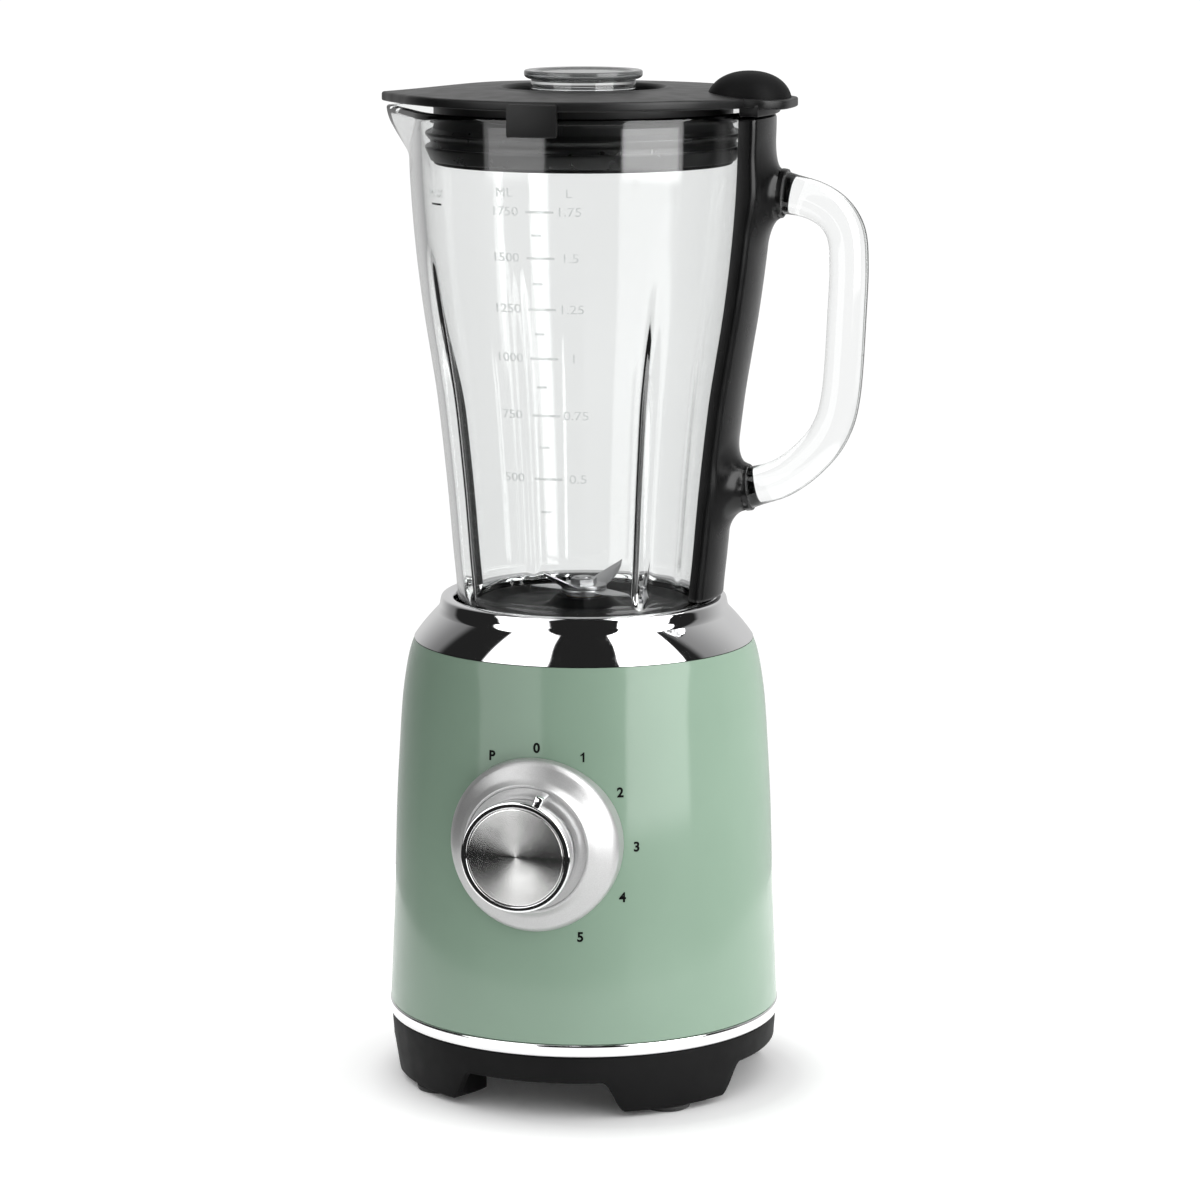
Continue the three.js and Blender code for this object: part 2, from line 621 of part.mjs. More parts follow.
function handleSpine() {
  const geometry = new THREE.BoxGeometry(1, 1, 1, 6, 1, 9);
  const position = geometry.attributes.position;
  for (let i = 0; i < position.count; i++) {
    const side = 2 * position.getX(i) * SPINE_HALF_WIDTH;
    const outer = position.getY(i) > 0;
    const height = position.getZ(i) + 0.5;
    const z = THREE.MathUtils.lerp(SPINE_BOTTOM, SPINE_TOP, height);
    const inner = Math.sqrt((radiusAt(JAR_OUTLINE, z) + 0.6) ** 2 - side ** 2);
    const crown = 0.6 * (1 - (side / SPINE_HALF_WIDTH) ** 2);
    const thick = THREE.MathUtils.lerp(4.4, 6.4, height) + crown;
    position.setXYZ(i, inner + (outer ? thick : 0), side, z);
  }
  const [upper, upperHole] = handleBoss(84, 367.3, -6, 9, 10.2, 18);
  const [lower, lowerHole] = handleBoss(70.6, 248.2, 6, 10, 9.8, 16);
  const jarSpace = turned([[0, 195], [52.7, 200], [56.6, 248.5], [60.1, 281.5], [0, 300]], 32);
  return cut(joined(solidOf(geometry), upper, cut(lower, jarSpace)), upperHole, lowerHole);
}

function bladeCarrier() {
  return turned([
    [7.3, 178], [JAR_HOLE - 0.5, 178], [JAR_HOLE - 0.5, 193.5], [40, 193.5], [40, 195.4],
    [38.6, 196.4], [14, 197.4], [11, 201], [7.3, 201],
  ]);
}

const carrierSeal = () => tube(JAR_HOLE + 0.3, 37.5, JAR_FLOOR_TOP + GAP, 193.2, 28);

function lockingNut() {
  const ring = tube(JAR_HOLE - 0.2, 41, 174.6, JAR_FLOOR_BOTTOM - GAP, 28);
  const notches = Array.from({ length: 6 }, (_, i) =>
    block([38.5, -3, 172], [44, 3, 178]).rotate([0, 0, i * 60]));
  return cut(ring, ...notches);
}

const bladeBush = (bottom, top) => tube(SHAFT_RADIUS + 0.1, 7, bottom, top);

// One blade: a flat hub with two sharpened arms, each raised by its own angle.
function blade(bottom, turn, arms) {
  const thick = 1.5;
  const hub = rod(9.4, bottom, bottom + thick);
  const wings = arms.map(([direction, raise, reach]) => {
    const shape = new THREE.Shape();
    shape.moveTo(0, -6.5);
    shape.quadraticCurveTo(reach * 0.6, -7.5, reach, 1.5);
    shape.quadraticCurveTo(reach * 0.6, 5.5, 0, 6.5);
    shape.closePath();
    const wing = upright(shape, 0, thick, 5).rotate([0, -raise, 0]);
    return wing.translate([8, 0, bottom]).rotate([0, 0, direction]);
  });
  const whole = joined(hub, ...wings).rotate([0, 0, turn]);
  return cut(whole, rod(SHAFT_HOLE, 0, 300));
}

function bladeNut() {
  const nut = rod(6.6, 206.4, 210, 0, 0, 6);
  return cut(nut, rod(SHAFT_HOLE, 200, 220));
}

// ---- Lid and measuring cap ----

function lid() {
  const profile = [
    [CAP_HOLE, 395], [23.6, 395], [23.6, 403.2], [LID_SKIRT - 3, 402.4], [LID_SKIRT - 3, LID_BOTTOM],
    [LID_SKIRT, LID_BOTTOM], [LID_SKIRT, LID_RIM_BOTTOM], [LID_RADIUS - 1, LID_RIM_BOTTOM],
    [LID_RADIUS, LID_RIM_BOTTOM + 1], [LID_RADIUS, LID_RIM_TOP - 0.6],
    [LID_RADIUS - 1.4, LID_RIM_TOP], [35.8, LID_CREST - 0.5], [34.3, LID_CREST],
    [32.8, LID_CREST - 0.4], [32, RECESS_FLOOR], [CAP_HOLE, RECESS_FLOOR],
  ];
  const shift = (radius, z, angle) =>
    radius > 70 ? spoutRadius(radius, radius + SPOUT_REACH - LID_RADIUS, fromSpout(angle)) : radius;
  const cover = reshape(profile, OPEN, shift);
  const tabs = [-1, 1].map((side) => {
    const [near, far] = [72.6 * side, 76.8 * side];
    return block([-10, Math.min(near, far), 393], [10, Math.max(near, far), LID_RIM_TOP - 0.8]);
  });
  const tongueShape = new THREE.Shape();
  tongueShape.moveTo(60, -TONGUE_HALF_WIDTH);
  tongueShape.lineTo(76, -TONGUE_HALF_WIDTH);
  tongueShape.quadraticCurveTo(86, -TONGUE_HALF_WIDTH + 3, 87, -8);
  tongueShape.lineTo(87, 8);
  tongueShape.quadraticCurveTo(86, TONGUE_HALF_WIDTH - 3, 76, TONGUE_HALF_WIDTH);
  tongueShape.lineTo(60, TONGUE_HALF_WIDTH);
  tongueShape.closePath();
  const tongue = upright(tongueShape, LID_RIM_BOTTOM, LID_RIM_TOP);
  const collar = block([72.4, -17, SPINE_TOP + GAP], [80.5, 17, LID_RIM_BOTTOM + 1]);
  const ball = new THREE.SphereGeometry(1, 20, 12).rotateX(Math.PI / 2);
  const ellipsoid = solidOf(ball.scale(17, 18.5, 13).translate(68.6, 0, 403));
  const above = block([40, -30, LID_RIM_BOTTOM + 1], [100, 30, 440]);
  return joined(cover, ...tabs, tongue, collar, ellipsoid.intersect(above));
}

function lidSeal() {
  const inner = LID_SKIRT + GAP;
  return turned([
    [inner, 380], [62, 380.4], [64, 385.6], [62, 385.6], [62, 387.6], [64, 391], [62, 391],
    [inner, 393],
  ], OPEN);
}

function capCup() {
  return turned([
    [0, 409.2], [18.8, 409.2], [19, 389], [21, 389], [21.2, 405.4], [23.4, 405.4], [23.4, 406.6],
    [21.2, 407.2], [21.2, 411.5], [0, 411.5],
  ]);
}

function capDisc() {
  return turned([
    [0, 411.8], [22.6, 411.8], [23.8, 412.6], [24, 414], [23, CAP_TOP - 0.2], [21, CAP_TOP],
    [0, CAP_TOP],
  ]);
}

// ---- Assembly ----

const { enamel, chrome, satinSilver, blackPlastic, rubber, glass, clearPlastic, steel, silicone,
  aluminium, laminate, copper, bronze, carbon, board } = MATERIALS;

function addBase() {
  add("base_skirt", baseSkirt(), blackPlastic);
  add("bottom_plate", bottomPlate(), blackPlastic);
  for (const [corner, degrees] of Object.entries(CORNERS))
    add("foot_pad_" + corner, footPad(degrees), rubber);
  for (const [side, degrees] of Object.entries(SIDES))
    add("base_screw_" + side, baseScrew(degrees), steel);
  add("trim_ring", trimRing(), chrome);
  add("body_shell", bodyShell(), enamel);
  add("chrome_shoulder", chromeShoulder(), chrome);
  add("jar_seat", jarSeat(), blackPlastic);
  add("cord_gland", cordGland(), rubber);
  add("speed_board", joined(
    block([-28, 56, 78], [28, 57.6, 134]), block([-20, 46, 90], [-6, 56.5, 106]),
    block([4, 50, 112], [20, 56.5, 126]),
  ), board);
}

function addDial() {
  add("dial_bezel", dialBezel(), satinSilver);
  add("dial_knob", dialKnob(), chrome);
  add("dial_face", dialFace(), satinSilver);
  add("dial_spindle", dialSpindle(), steel);
  add("rotary_switch", rotarySwitch(), blackPlastic);
}

function addMotor() {
  add("stator_core", stator(), laminate);
  add("field_coil_rear", fieldCoil(0), copper);
  add("field_coil_front", fieldCoil(180), copper);
  const stand = UPPER_BRACKET + BEARING_HEIGHT;
  const upperLegs = [STATOR_TOP + GAP, UPPER_BRACKET + 1];
  const lowerLegs = [LOWER_BRACKET + 1, STATOR_BOTTOM - GAP];
  add("upper_motor_bracket", motorBracket(UPPER_BRACKET, 44, ...upperLegs), aluminium);
  add("lower_motor_bracket", motorBracket(LOWER_BRACKET, 36, ...lowerLegs), aluminium);
  add("upper_bearing", bearing(UPPER_BRACKET), steel);
  add("lower_bearing", bearing(LOWER_BRACKET), steel);
  for (const [name, side] of [["right", 0], ["left", 180]]) {
    add("brush_holder_" + name, brushHolder(side), bronze);
    add("carbon_brush_" + name, carbonBrush(side), carbon);
  }
  add("motor_damper", tube(36.5, 43.5, stand + GAP, 156, 24), rubber);
  add("motor_shaft", rod(SHAFT_RADIUS, 32, 166), steel);
  add("armature_core", armatureCore(), laminate);
  add("armature_winding_upper", armatureWinding(STATOR_TOP - 0.7, 138), copper);
  add("armature_winding_lower", armatureWinding(STATOR_BOTTOM + 0.7, 81), copper);
  add("commutator", tube(SHAFT_HOLE, 11, 68, 80), copper);
  add("cooling_fan", coolingFan(), blackPlastic);
  add("drive_coupling", driveCoupling(), blackPlastic);
}

function addInterlock() {
  add("interlock_plunger", interlockPlunger(), blackPlastic);
  add("interlock_spring", interlockSpring(), steel);
  add("interlock_switch", interlockSwitch(), blackPlastic);
}

function addJar() {
  add("glass_jar", glassJar(), glass);
  add("handle_spine", handleSpine(), blackPlastic);
  add("blade_carrier", bladeCarrier(), blackPlastic);
  add("carrier_seal", carrierSeal(), silicone);
  add("locking_nut", lockingNut(), blackPlastic);
  add("upper_blade_bush", bladeBush(192, 200.6), bronze);
  add("lower_blade_bush", bladeBush(178.4, 185), bronze);
  add("blade_shaft", rod(SHAFT_RADIUS, 172, 211), steel);
  add("blade_washer", tube(SHAFT_HOLE, 7.4, 201.3, 202.3), steel);
  add("lower_blade", blade(202.6, 20, [[0, -4, 24], [180, -4, 24]]), steel);
  add("upper_blade", blade(204.5, 75, [[0, 34, 23], [180, 34, 23]]), steel);
  add("blade_nut", bladeNut(), steel);
  add("driven_coupling", drivenCoupling(), blackPlastic);
}

function addLid() {
  add("lid", lid(), blackPlastic);
  add("lid_seal", lidSeal(), silicone);
  add("measuring_cap", capCup(), clearPlastic);
  add("cap_disc", capDisc(), clearPlastic);
}

addBase();
addDial();
addMotor();
addInterlock();
addJar();
addLid();

export default blender;
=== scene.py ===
"""The looks of a countertop blender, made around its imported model.

Lengths are millimetres about the vertical drive axis, until place() turns them into the frame's
metres. The dial faces -Y, the handle is at +X and the pouring spout at -X. Angles are degrees round
the drive axis, counted from the front towards the handle.
"""

import json
import math

import bmesh
import bpy
import numpy as np
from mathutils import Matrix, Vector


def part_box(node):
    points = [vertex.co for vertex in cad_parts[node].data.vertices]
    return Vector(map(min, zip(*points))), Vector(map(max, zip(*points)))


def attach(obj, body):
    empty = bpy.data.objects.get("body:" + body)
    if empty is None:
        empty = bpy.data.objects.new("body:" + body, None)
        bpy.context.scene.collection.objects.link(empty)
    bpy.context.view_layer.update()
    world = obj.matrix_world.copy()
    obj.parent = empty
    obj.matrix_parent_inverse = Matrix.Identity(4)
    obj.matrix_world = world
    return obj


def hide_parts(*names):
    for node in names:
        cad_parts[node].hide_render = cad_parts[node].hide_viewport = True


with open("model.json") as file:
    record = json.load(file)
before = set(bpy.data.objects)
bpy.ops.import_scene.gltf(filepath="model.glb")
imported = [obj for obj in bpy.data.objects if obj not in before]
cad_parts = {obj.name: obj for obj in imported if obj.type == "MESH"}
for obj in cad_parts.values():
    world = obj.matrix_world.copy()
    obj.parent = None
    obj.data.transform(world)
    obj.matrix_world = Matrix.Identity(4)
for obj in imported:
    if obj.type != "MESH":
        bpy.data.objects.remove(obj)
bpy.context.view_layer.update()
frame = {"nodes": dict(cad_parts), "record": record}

MM = 0.001
SIDES = 160  # round a large turned piece
SMALL_SIDES = 64  # round a small turned piece
SHARP = 38  # degrees between two faces that show as an edge

# ---- Places, from the frame ----

ring_low, ring_high = (np.array(corner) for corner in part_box("trim_ring"))
AXIS = np.append((ring_low + ring_high)[:2] / 2, 0)


def span(node, axis):
    """A node's lowest and highest place along X, Y or Z, in millimetres from the drive axis."""
    low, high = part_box(node)
    return [round((corner[axis] - AXIS[axis]) / MM, 3) for corner in (low, high)]


X, Y, Z = 0, 1, 2
RING_BOTTOM, RING_TOP = span("trim_ring", Z)
SKIRT_BOTTOM, _ = span("base_skirt", Z)
SKIRT_TOP = RING_BOTTOM - 0.3
PLATE_BOTTOM, _ = span("bottom_plate", Z)
SHELL_TOP = span("body_shell", Z)[1]
NECK_TOP = span("chrome_shoulder", Z)[1]
JAR_FOOT, JAR_TOP = span("glass_jar", Z)
SPINE_BOTTOM, SPINE_TOP = span("handle_spine", Z)
KNOB_FRONT = -span("dial_knob", Y)[0]
KNOB_REACH = 24  # how far the knob's front stands out from the body
face_low, face_high = span("dial_face", Z)
DIAL_HEIGHT = (face_low + face_high) / 2
BODY_FRONT = KNOB_FRONT - KNOB_REACH
LID_TOP = span("lid", Z)[1]
CAP_TOP = span("cap_disc", Z)[1]
TONGUE_END = span("lid", X)[1]
SPOUT_TIP = -span("lid", X)[0]

BODIES = frame["record"]["behaviour"]["bodies"]
BODY_OF = {node: body for body, nodes in BODIES.items() for node in nodes}
SLOT_OF = {part["node"]: part["material_slot"] for part in frame["record"]["subparts"]}

# ---- Curves and outlines ----


def spline(points, count):
    """A smooth curve through the points, with count places on it."""
    points = np.array(points, float)
    ends = [2 * points[0] - points[1], *points, 2 * points[-1] - points[-2]]
    places = np.linspace(0, len(points) - 1, count)
    curve = []
    for place_on in places:
        i = min(int(place_on), len(points) - 2)
        t = place_on - i
        a, b, c, d = ends[i], ends[i + 1], ends[i + 2], ends[i + 3]
        bend = (2 * a - 5 * b + 4 * c - d) * t + (3 * b - a - 3 * c + d) * t**2
        curve.append(b + 0.5 * t * (c - a + bend))
    return np.array(curve)


def rounded(corners, steps=6):
    """A line through corners, each (u, v) or (u, v, rounding)."""
    line = []
    for i, corner in enumerate(corners):
        here = np.array(corner[:2], float)
        if len(corner) < 3:
            line.append(here)
            continue
        ends = []
        for other in (corners[i - 1], corners[(i + 1) % len(corners)]):
            way = np.array(other[:2], float) - here
            ends.append(here + way / np.linalg.norm(way) * corner[2])
        for t in np.linspace(0, 1, steps):
            line.append((1 - t) ** 2 * ends[0] + 2 * t * (1 - t) * here + t**2 * ends[1])
    return np.array(line)


def smoothstep(value, low, high):
    t = np.clip((value - low) / (high - low), 0, 1)
    return t * t * (3 - 2 * t)


BODY_OUTLINE = spline(
    [[80.6, RING_TOP + 0.3], [79.7, 52], [78.6, 76], [77.5, 113], [76.3, 136], [74.9, 157],
     [73.3, 169.5], [71.6, 178], [69.8, SHELL_TOP]],
    90,
)
JAR_OUTLINE = spline(
    [[50.8, 172.4], [52, 202.7], [53.6, 221], [55.9, 248.5], [59.4, 281.5], [62.1, 300],
     [65.3, 321], [68.2, 346], [70.0, 370], [70.7, 391], [70.7, 398]],
    120,
)
JAR_WALL = 5


def body_radius(height):
    return np.interp(height, BODY_OUTLINE[:, 1], BODY_OUTLINE[:, 0])


def jar_radius(height):
    return np.interp(height, JAR_OUTLINE[:, 1], JAR_OUTLINE[:, 0])


# ---- Shells: each is (points, faces) of one closed surface ----


def strips(count, sides, joined):
    """The faces between each closed loop of points and the next, for count loops in a row. When
    joined, the last loop meets the first."""
    faces = []
    for i in range(count if joined else count - 1):
        here, there = i * sides, (i + 1) % count * sides
        for j in range(sides):
            after = (j + 1) % sides
            faces.append((here + j, here + after, there + after, there + j))
    return faces


def lathe(profile, sides=SIDES, warp=None):
    """Turns (radius, height) points about the drive axis. The profile runs from axis to axis, or
    closes on itself. warp takes radii, heights, angles and each point's place along the profile,
    and gives new radii and heights."""
    profile = np.array(profile, float)
    from_axis = profile[0, 0] < 1e-6
    rings = profile[1:-1] if from_axis else profile
    count = len(rings)
    angle = np.tile(np.linspace(-180, 180, sides, endpoint=False), (count, 1))
    radius = np.repeat(rings[:, :1], sides, 1)
    height = np.repeat(rings[:, 1:], sides, 1)
    if warp:
        radius, height = warp(radius, height, angle, np.arange(count)[:, None])
    turn = np.radians(angle)
    points = np.stack([radius * np.sin(turn), -radius * np.cos(turn), height], 2).reshape(-1, 3)
    faces = strips(count, sides, not from_axis)
    if from_axis:
        poles = [[0, 0, profile[0, 1]], [0, 0, profile[-1, 1]]]
        for pole, ring in ((0, 0), (1, count - 1)):
            for j in range(sides):
                faces.append((len(points) + pole, ring * sides + j, ring * sides + (j + 1) % sides))
        points = np.vstack([points, poles])
    return points, faces


def loft(loops):
    """A skin over closed loops of equally many points, with its two ends closed."""
    loops = np.array(loops, float)
    count, sides = loops.shape[:2]
    ends = [tuple(range(sides)), tuple(range((count - 1) * sides, count * sides))]
    return loops.reshape(-1, 3), ends + strips(count, sides, False)


def slab(outline, bottom, top, edge):
    """An outline in X and Y, raised from bottom to top with rounded edges."""
    outline = np.array(outline, float)
    along = np.roll(outline, -1, 0) - np.roll(outline, 1, 0)
    inward = np.stack([-along[:, 1], along[:, 0]], 1)
    inward /= np.linalg.norm(inward, axis=1)[:, None]
    if np.sum(inward * (outline.mean(0) - outline)) < 0:
        inward = -inward
    turns = np.radians(np.linspace(0, 90, 5))
    rise = [(edge * (1 - math.sin(t)), bottom + edge * (1 - math.cos(t))) for t in turns]
    levels = rise + [(inset, top + bottom - level) for inset, level in reversed(rise)]
    return loft([np.column_stack([outline + inward * inset, np.full(len(outline), level)])
                 for inset, level in levels])


def block(low, high, edge):
    """A box with rounded edges."""
    low, high = np.array(low, float), np.array(high, float)
    form = bmesh.new()
    bmesh.ops.create_cube(form, size=1)
    for corner in form.verts:
        corner.co = (low + high) / 2 + np.array(corner.co) * (high - low)
    bmesh.ops.bevel(form, geom=form.edges[:], offset=edge, segments=4, profile=0.5,
                    affect="EDGES")
    form.verts.index_update()
    points = np.array([corner.co for corner in form.verts])
    faces = [tuple(corner.index for corner in face.verts) for face in form.faces]
    form.free()
    return points, faces


def moved(shell, by=(0, 0, 0), turn=None):
    """A shell, turned by a 3x3 matrix and then moved."""
    points, faces = shell
    points = points @ np.array(turn).T if turn is not None else points
    return points + np.array(by, float), faces


def turned_about(axis, degrees):
    """The matrix of a turn about X, Y or Z."""
    a, b = [i for i in range(3) if i != axis]
    if axis == Y:
        a, b = b, a
    matrix = np.eye(3)
    c, s = math.cos(math.radians(degrees)), math.sin(math.radians(degrees))
    matrix[a, a], matrix[a, b], matrix[b, a], matrix[b, b] = c, -s, s, c
    return matrix


DIAL_FACING = np.array([[1, 0, 0], [0, 0, -1], [0, -1, 0]])


def at_dial(shell):
    """A shell turned about the drive axis, laid on the dial's axis: height becomes the distance in
    front of the body."""
    return moved(shell, (0, -BODY_FRONT, DIAL_HEIGHT), DIAL_FACING)


def place(points):
    return np.asarray(points, float) * MM + AXIS


def added(name, data):
    """A new object in the scene."""
    made = bpy.data.objects.new(name, data)
    bpy.context.scene.collection.objects.link(made)
    return made


def piece(name, shells, node, material, also=(), sharp=SHARP, body=None):
    """Makes the shells into one object that rides where the CAD node does and stands for it."""
    mesh = bpy.data.meshes.new(name)
    points, faces = [], []
    for shell_points, shell_faces in shells:
        start = sum(len(p) for p in points)
        points.append(place(shell_points))
        faces += [tuple(start + i for i in face) for face in shell_faces]
    mesh.from_pydata(np.vstack(points).tolist(), [], faces)
    form = bmesh.new()
    form.from_mesh(mesh)
    bmesh.ops.recalc_face_normals(form, faces=form.faces)
    form.to_mesh(mesh)
    form.free()
    mesh.shade_smooth()
    mesh.set_sharp_from_angle(angle=math.radians(sharp))
    mesh.materials.append(material)
    made = added(name, mesh)
    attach(made, body or BODY_OF[node])
    if node:
        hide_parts(node, *also)
    return made


# ---- Materials ----


def shader_node(tree, kind, inputs, settings):
    """A node whose sockets, by name or number, get values or links."""
    made = tree.nodes.new("ShaderNode" + kind)
    for name, value in settings.items():
        setattr(made, name, value)
    for socket, value in dict(inputs).items():
        if isinstance(value, bpy.types.NodeSocket):
            tree.links.new(value, made.inputs[socket])
        else:
            made.inputs[socket].default_value = value
    return made


class Surface:
    """A Principled material whose colour, roughness and bump are worked out by nodes."""

    def __init__(self, name, **constants):
        self.material = bpy.data.materials.new(name)
        self.material.use_nodes = True
        self.tree = self.material.node_tree
        self.shader = self.tree.nodes["Principled BSDF"]
        for socket, value in constants.items():
            self.shader.inputs[socket.replace("_", " ")].default_value = value
        self.where = self.tree.nodes.new("ShaderNodeTexCoord").outputs["Object"]

    def node(self, kind, inputs=(), **settings):
        return shader_node(self.tree, kind, inputs, settings)

    def stretched(self, scale):
        """The place on the surface, scaled by a different amount along each axis."""
        return self.node("Mapping", {"Vector": self.where, "Scale": scale}).outputs[0]

    def noise(self, scale, detail=2, where=None, distortion=0):
        inputs = {"Vector": where or self.where, "Scale": scale, "Detail": detail,
                  "Distortion": distortion}
        return self.node("TexNoise", inputs).outputs["Fac"]

    def ranged(self, value, low, high, spread=(0.3, 0.7)):
        inputs = {"Value": value, "From Min": spread[0], "From Max": spread[1], "To Min": low,
                  "To Max": high}
        return self.node("MapRange", inputs).outputs[0]

    def coloured(self, value, first, second, spread=(0.3, 0.7)):
        """The base colour, between two colours as the value rises."""
        ramp = self.node("ValToRGB", {"Fac": value})
        for stop, position, colour in zip(ramp.color_ramp.elements, spread, (first, second)):
            stop.position = position
            stop.color = (*colour, 1)
        self.tree.links.new(ramp.outputs["Color"], self.shader.inputs["Base Color"])
        return self

    def rough(self, value, low, high):
        self.tree.links.new(self.ranged(value, low, high), self.shader.inputs["Roughness"])
        return self

    def bumped(self, value, depth, strength=1):
        """Raises the surface by up to depth millimetres."""
        inputs = {"Height": value, "Distance": depth * MM, "Strength": strength}
        last = self.shader.inputs["Normal"]
        if last.links:
            inputs["Normal"] = last.links[0].from_socket
        self.tree.links.new(self.node("Bump", inputs).outputs[0], last)
        return self

    def spun(self, axis):
        """Grooves that run round an axis."""
        tangent = self.node("Tangent", direction_type="RADIAL", axis=axis)
        self.tree.links.new(tangent.outputs[0], self.shader.inputs["Tangent"])
        return self


def enamel():
    s = Surface("sage_enamel", Coat_Weight=0.6, Coat_Roughness=0.1, Coat_IOR=1.5,
                Specular_IOR_Level=0.1)
    s.coloured(s.noise(18, 4), (0.245, 0.352, 0.268), (0.26, 0.37, 0.284))
    s.rough(s.noise(60, 3), 0.3, 0.42)
    return s.bumped(s.noise(700, 2), 0.012).bumped(s.noise(90, 2), 0.02).material


def chrome():
    s = Surface("chrome_plate", Metallic=1.0)
    s.coloured(s.noise(25, 3), (0.84, 0.84, 0.85), (0.9, 0.9, 0.9))
    s.rough(s.noise(300, 5), 0.02, 0.06)
    return s.bumped(s.noise(14, 1), 0.01).material


def satin_silver():
    s = Surface("satin_silver_paint", Metallic=0.65, Coat_Weight=0.2, Coat_Roughness=0.3)
    s.coloured(s.noise(2600, 2), (0.49, 0.49, 0.49), (0.56, 0.56, 0.56))
    s.rough(s.noise(200, 3), 0.36, 0.44)
    return s.bumped(s.noise(2400, 2), 0.006).material


def spun_metal():
    s = Surface("spun_metal", Metallic=1.0, Anisotropic=0.98, Anisotropic_Rotation=0.25)
    s.coloured(s.noise(30, 3), (0.8, 0.8, 0.79), (0.88, 0.88, 0.87))
    s.rough(s.noise(120, 3), 0.16, 0.19)
    return s.spun("Y").material


def black_plastic(name="black_plastic", low=0.2, high=0.28, grain=0.01, gloss=0.35):
    s = Surface(name, Specular_IOR_Level=gloss)
    s.coloured(s.noise(40, 4), (0.004, 0.004, 0.0042), (0.0065, 0.0065, 0.0067))
    s.rough(s.noise(110, 4), low, high)
    return s.bumped(s.noise(1500, 3), grain).material


def rubber(name="foot_rubber", shade=0.012):
    s = Surface(name, IOR=1.5, Sheen_Weight=0.15, Sheen_Roughness=0.5)
    s.coloured(s.noise(90, 5), (shade, shade, shade), (shade * 1.8, shade * 1.8, shade * 1.8))
    s.rough(s.noise(300, 4), 0.62, 0.82)
    return s.bumped(s.noise(1100, 4), 0.03).material


def silicone():
    s = Surface("seal_silicone", IOR=1.42, Coat_Weight=0.35, Coat_Roughness=0.25)
    s.coloured(s.noise(70, 3), (0.003, 0.003, 0.003), (0.006, 0.006, 0.006))
    s.rough(s.noise(200, 3), 0.26, 0.36)
    return s.bumped(s.noise(800, 2), 0.008).material


def glass():
    s = Surface("jar_glass", Transmission_Weight=1.0, IOR=1.5)
    s.coloured(s.noise(6, 2), (0.925, 0.934, 0.931), (0.95, 0.957, 0.955))
    s.rough(s.noise(40, 2), 0.0, 0.012)
    return s.bumped(s.noise(9, 1, s.stretched((1, 1, 0.4))), 0.5, 0.12).material


def relief_glass():
    s = Surface("relief_glass", Transmission_Weight=1.0, IOR=1.35)
    s.coloured(s.noise(300, 2), (0.8, 0.81, 0.81), (0.9, 0.91, 0.91))
    s.rough(s.noise(500, 3), 0.04, 0.09)
    return s.bumped(s.noise(1200, 2), 0.01).material


def clear_plastic():
    s = Surface("cap_plastic", Transmission_Weight=1.0, IOR=1.49)
    s.coloured(s.noise(20, 2), (0.86, 0.87, 0.87), (0.92, 0.93, 0.93))
    s.rough(s.noise(90, 3), 0.01, 0.04)
    return s.bumped(s.noise(30, 1), 0.05, 0.3).material


def smoked_plastic():
    s = Surface("smoked_plastic", Transmission_Weight=0.7, IOR=1.49)
    s.coloured(s.noise(20, 2), (0.27, 0.28, 0.28), (0.34, 0.35, 0.35))
    s.rough(s.noise(90, 3), 0.05, 0.09)
    return s.bumped(s.noise(30, 1), 0.05, 0.3).material


def ground_steel():
    s = Surface("ground_steel", Metallic=1.0, Anisotropic=0.3)
    s.coloured(s.noise(35, 3), (0.62, 0.62, 0.63), (0.7, 0.7, 0.71))
    lines = s.noise(240, 3, s.stretched((12, 2, 1)))
    s.rough(lines, 0.3, 0.38)
    return s.bumped(lines, 0.003).material


def cast_aluminium():
    s = Surface("cast_aluminium", Metallic=1.0)
    s.coloured(s.noise(60, 5), (0.5, 0.51, 0.52), (0.64, 0.65, 0.66))
    s.rough(s.noise(250, 5), 0.4, 0.6)
    return s.bumped(s.noise(500, 5), 0.06).material


def laminations():
    s = Surface("stacked_sheet", Metallic=0.9)
    sheets = s.node("TexWave", {"Vector": s.where, "Scale": 320.0, "Distortion": 0.15},
                    bands_direction="Z").outputs["Fac"]
    s.coloured(sheets, (0.12, 0.12, 0.125), (0.3, 0.3, 0.31))
    s.rough(s.noise(150, 3), 0.35, 0.55)
    return s.bumped(sheets, 0.12).material


def copper():
    s = Surface("copper_winding", Metallic=1.0, Coat_Weight=0.5, Coat_Roughness=0.15)
    strands = s.node("TexWave", {"Vector": s.where, "Scale": 260.0, "Distortion": 2.5,
                                 "Detail": 2.0, "Detail Scale": 2.0},
                     bands_direction="DIAGONAL").outputs["Fac"]
    s.coloured(strands, (0.2, 0.055, 0.018), (0.62, 0.24, 0.09))
    s.rough(strands, 0.22, 0.4)
    return s.bumped(strands, 0.25).material


def sintered_bronze():
    s = Surface("sintered_bronze", Metallic=1.0)
    s.coloured(s.noise(400, 5), (0.26, 0.16, 0.06), (0.48, 0.33, 0.15))
    s.rough(s.noise(200, 4), 0.36, 0.5)
    return s.bumped(s.noise(900, 4), 0.04).material


def carbon():
    s = Surface("brush_carbon", IOR=1.6)
    s.coloured(s.noise(500, 5), (0.014, 0.014, 0.016), (0.04, 0.04, 0.043))
    s.rough(s.noise(300, 4), 0.5, 0.7)
    return s.bumped(s.noise(900, 4), 0.05).material


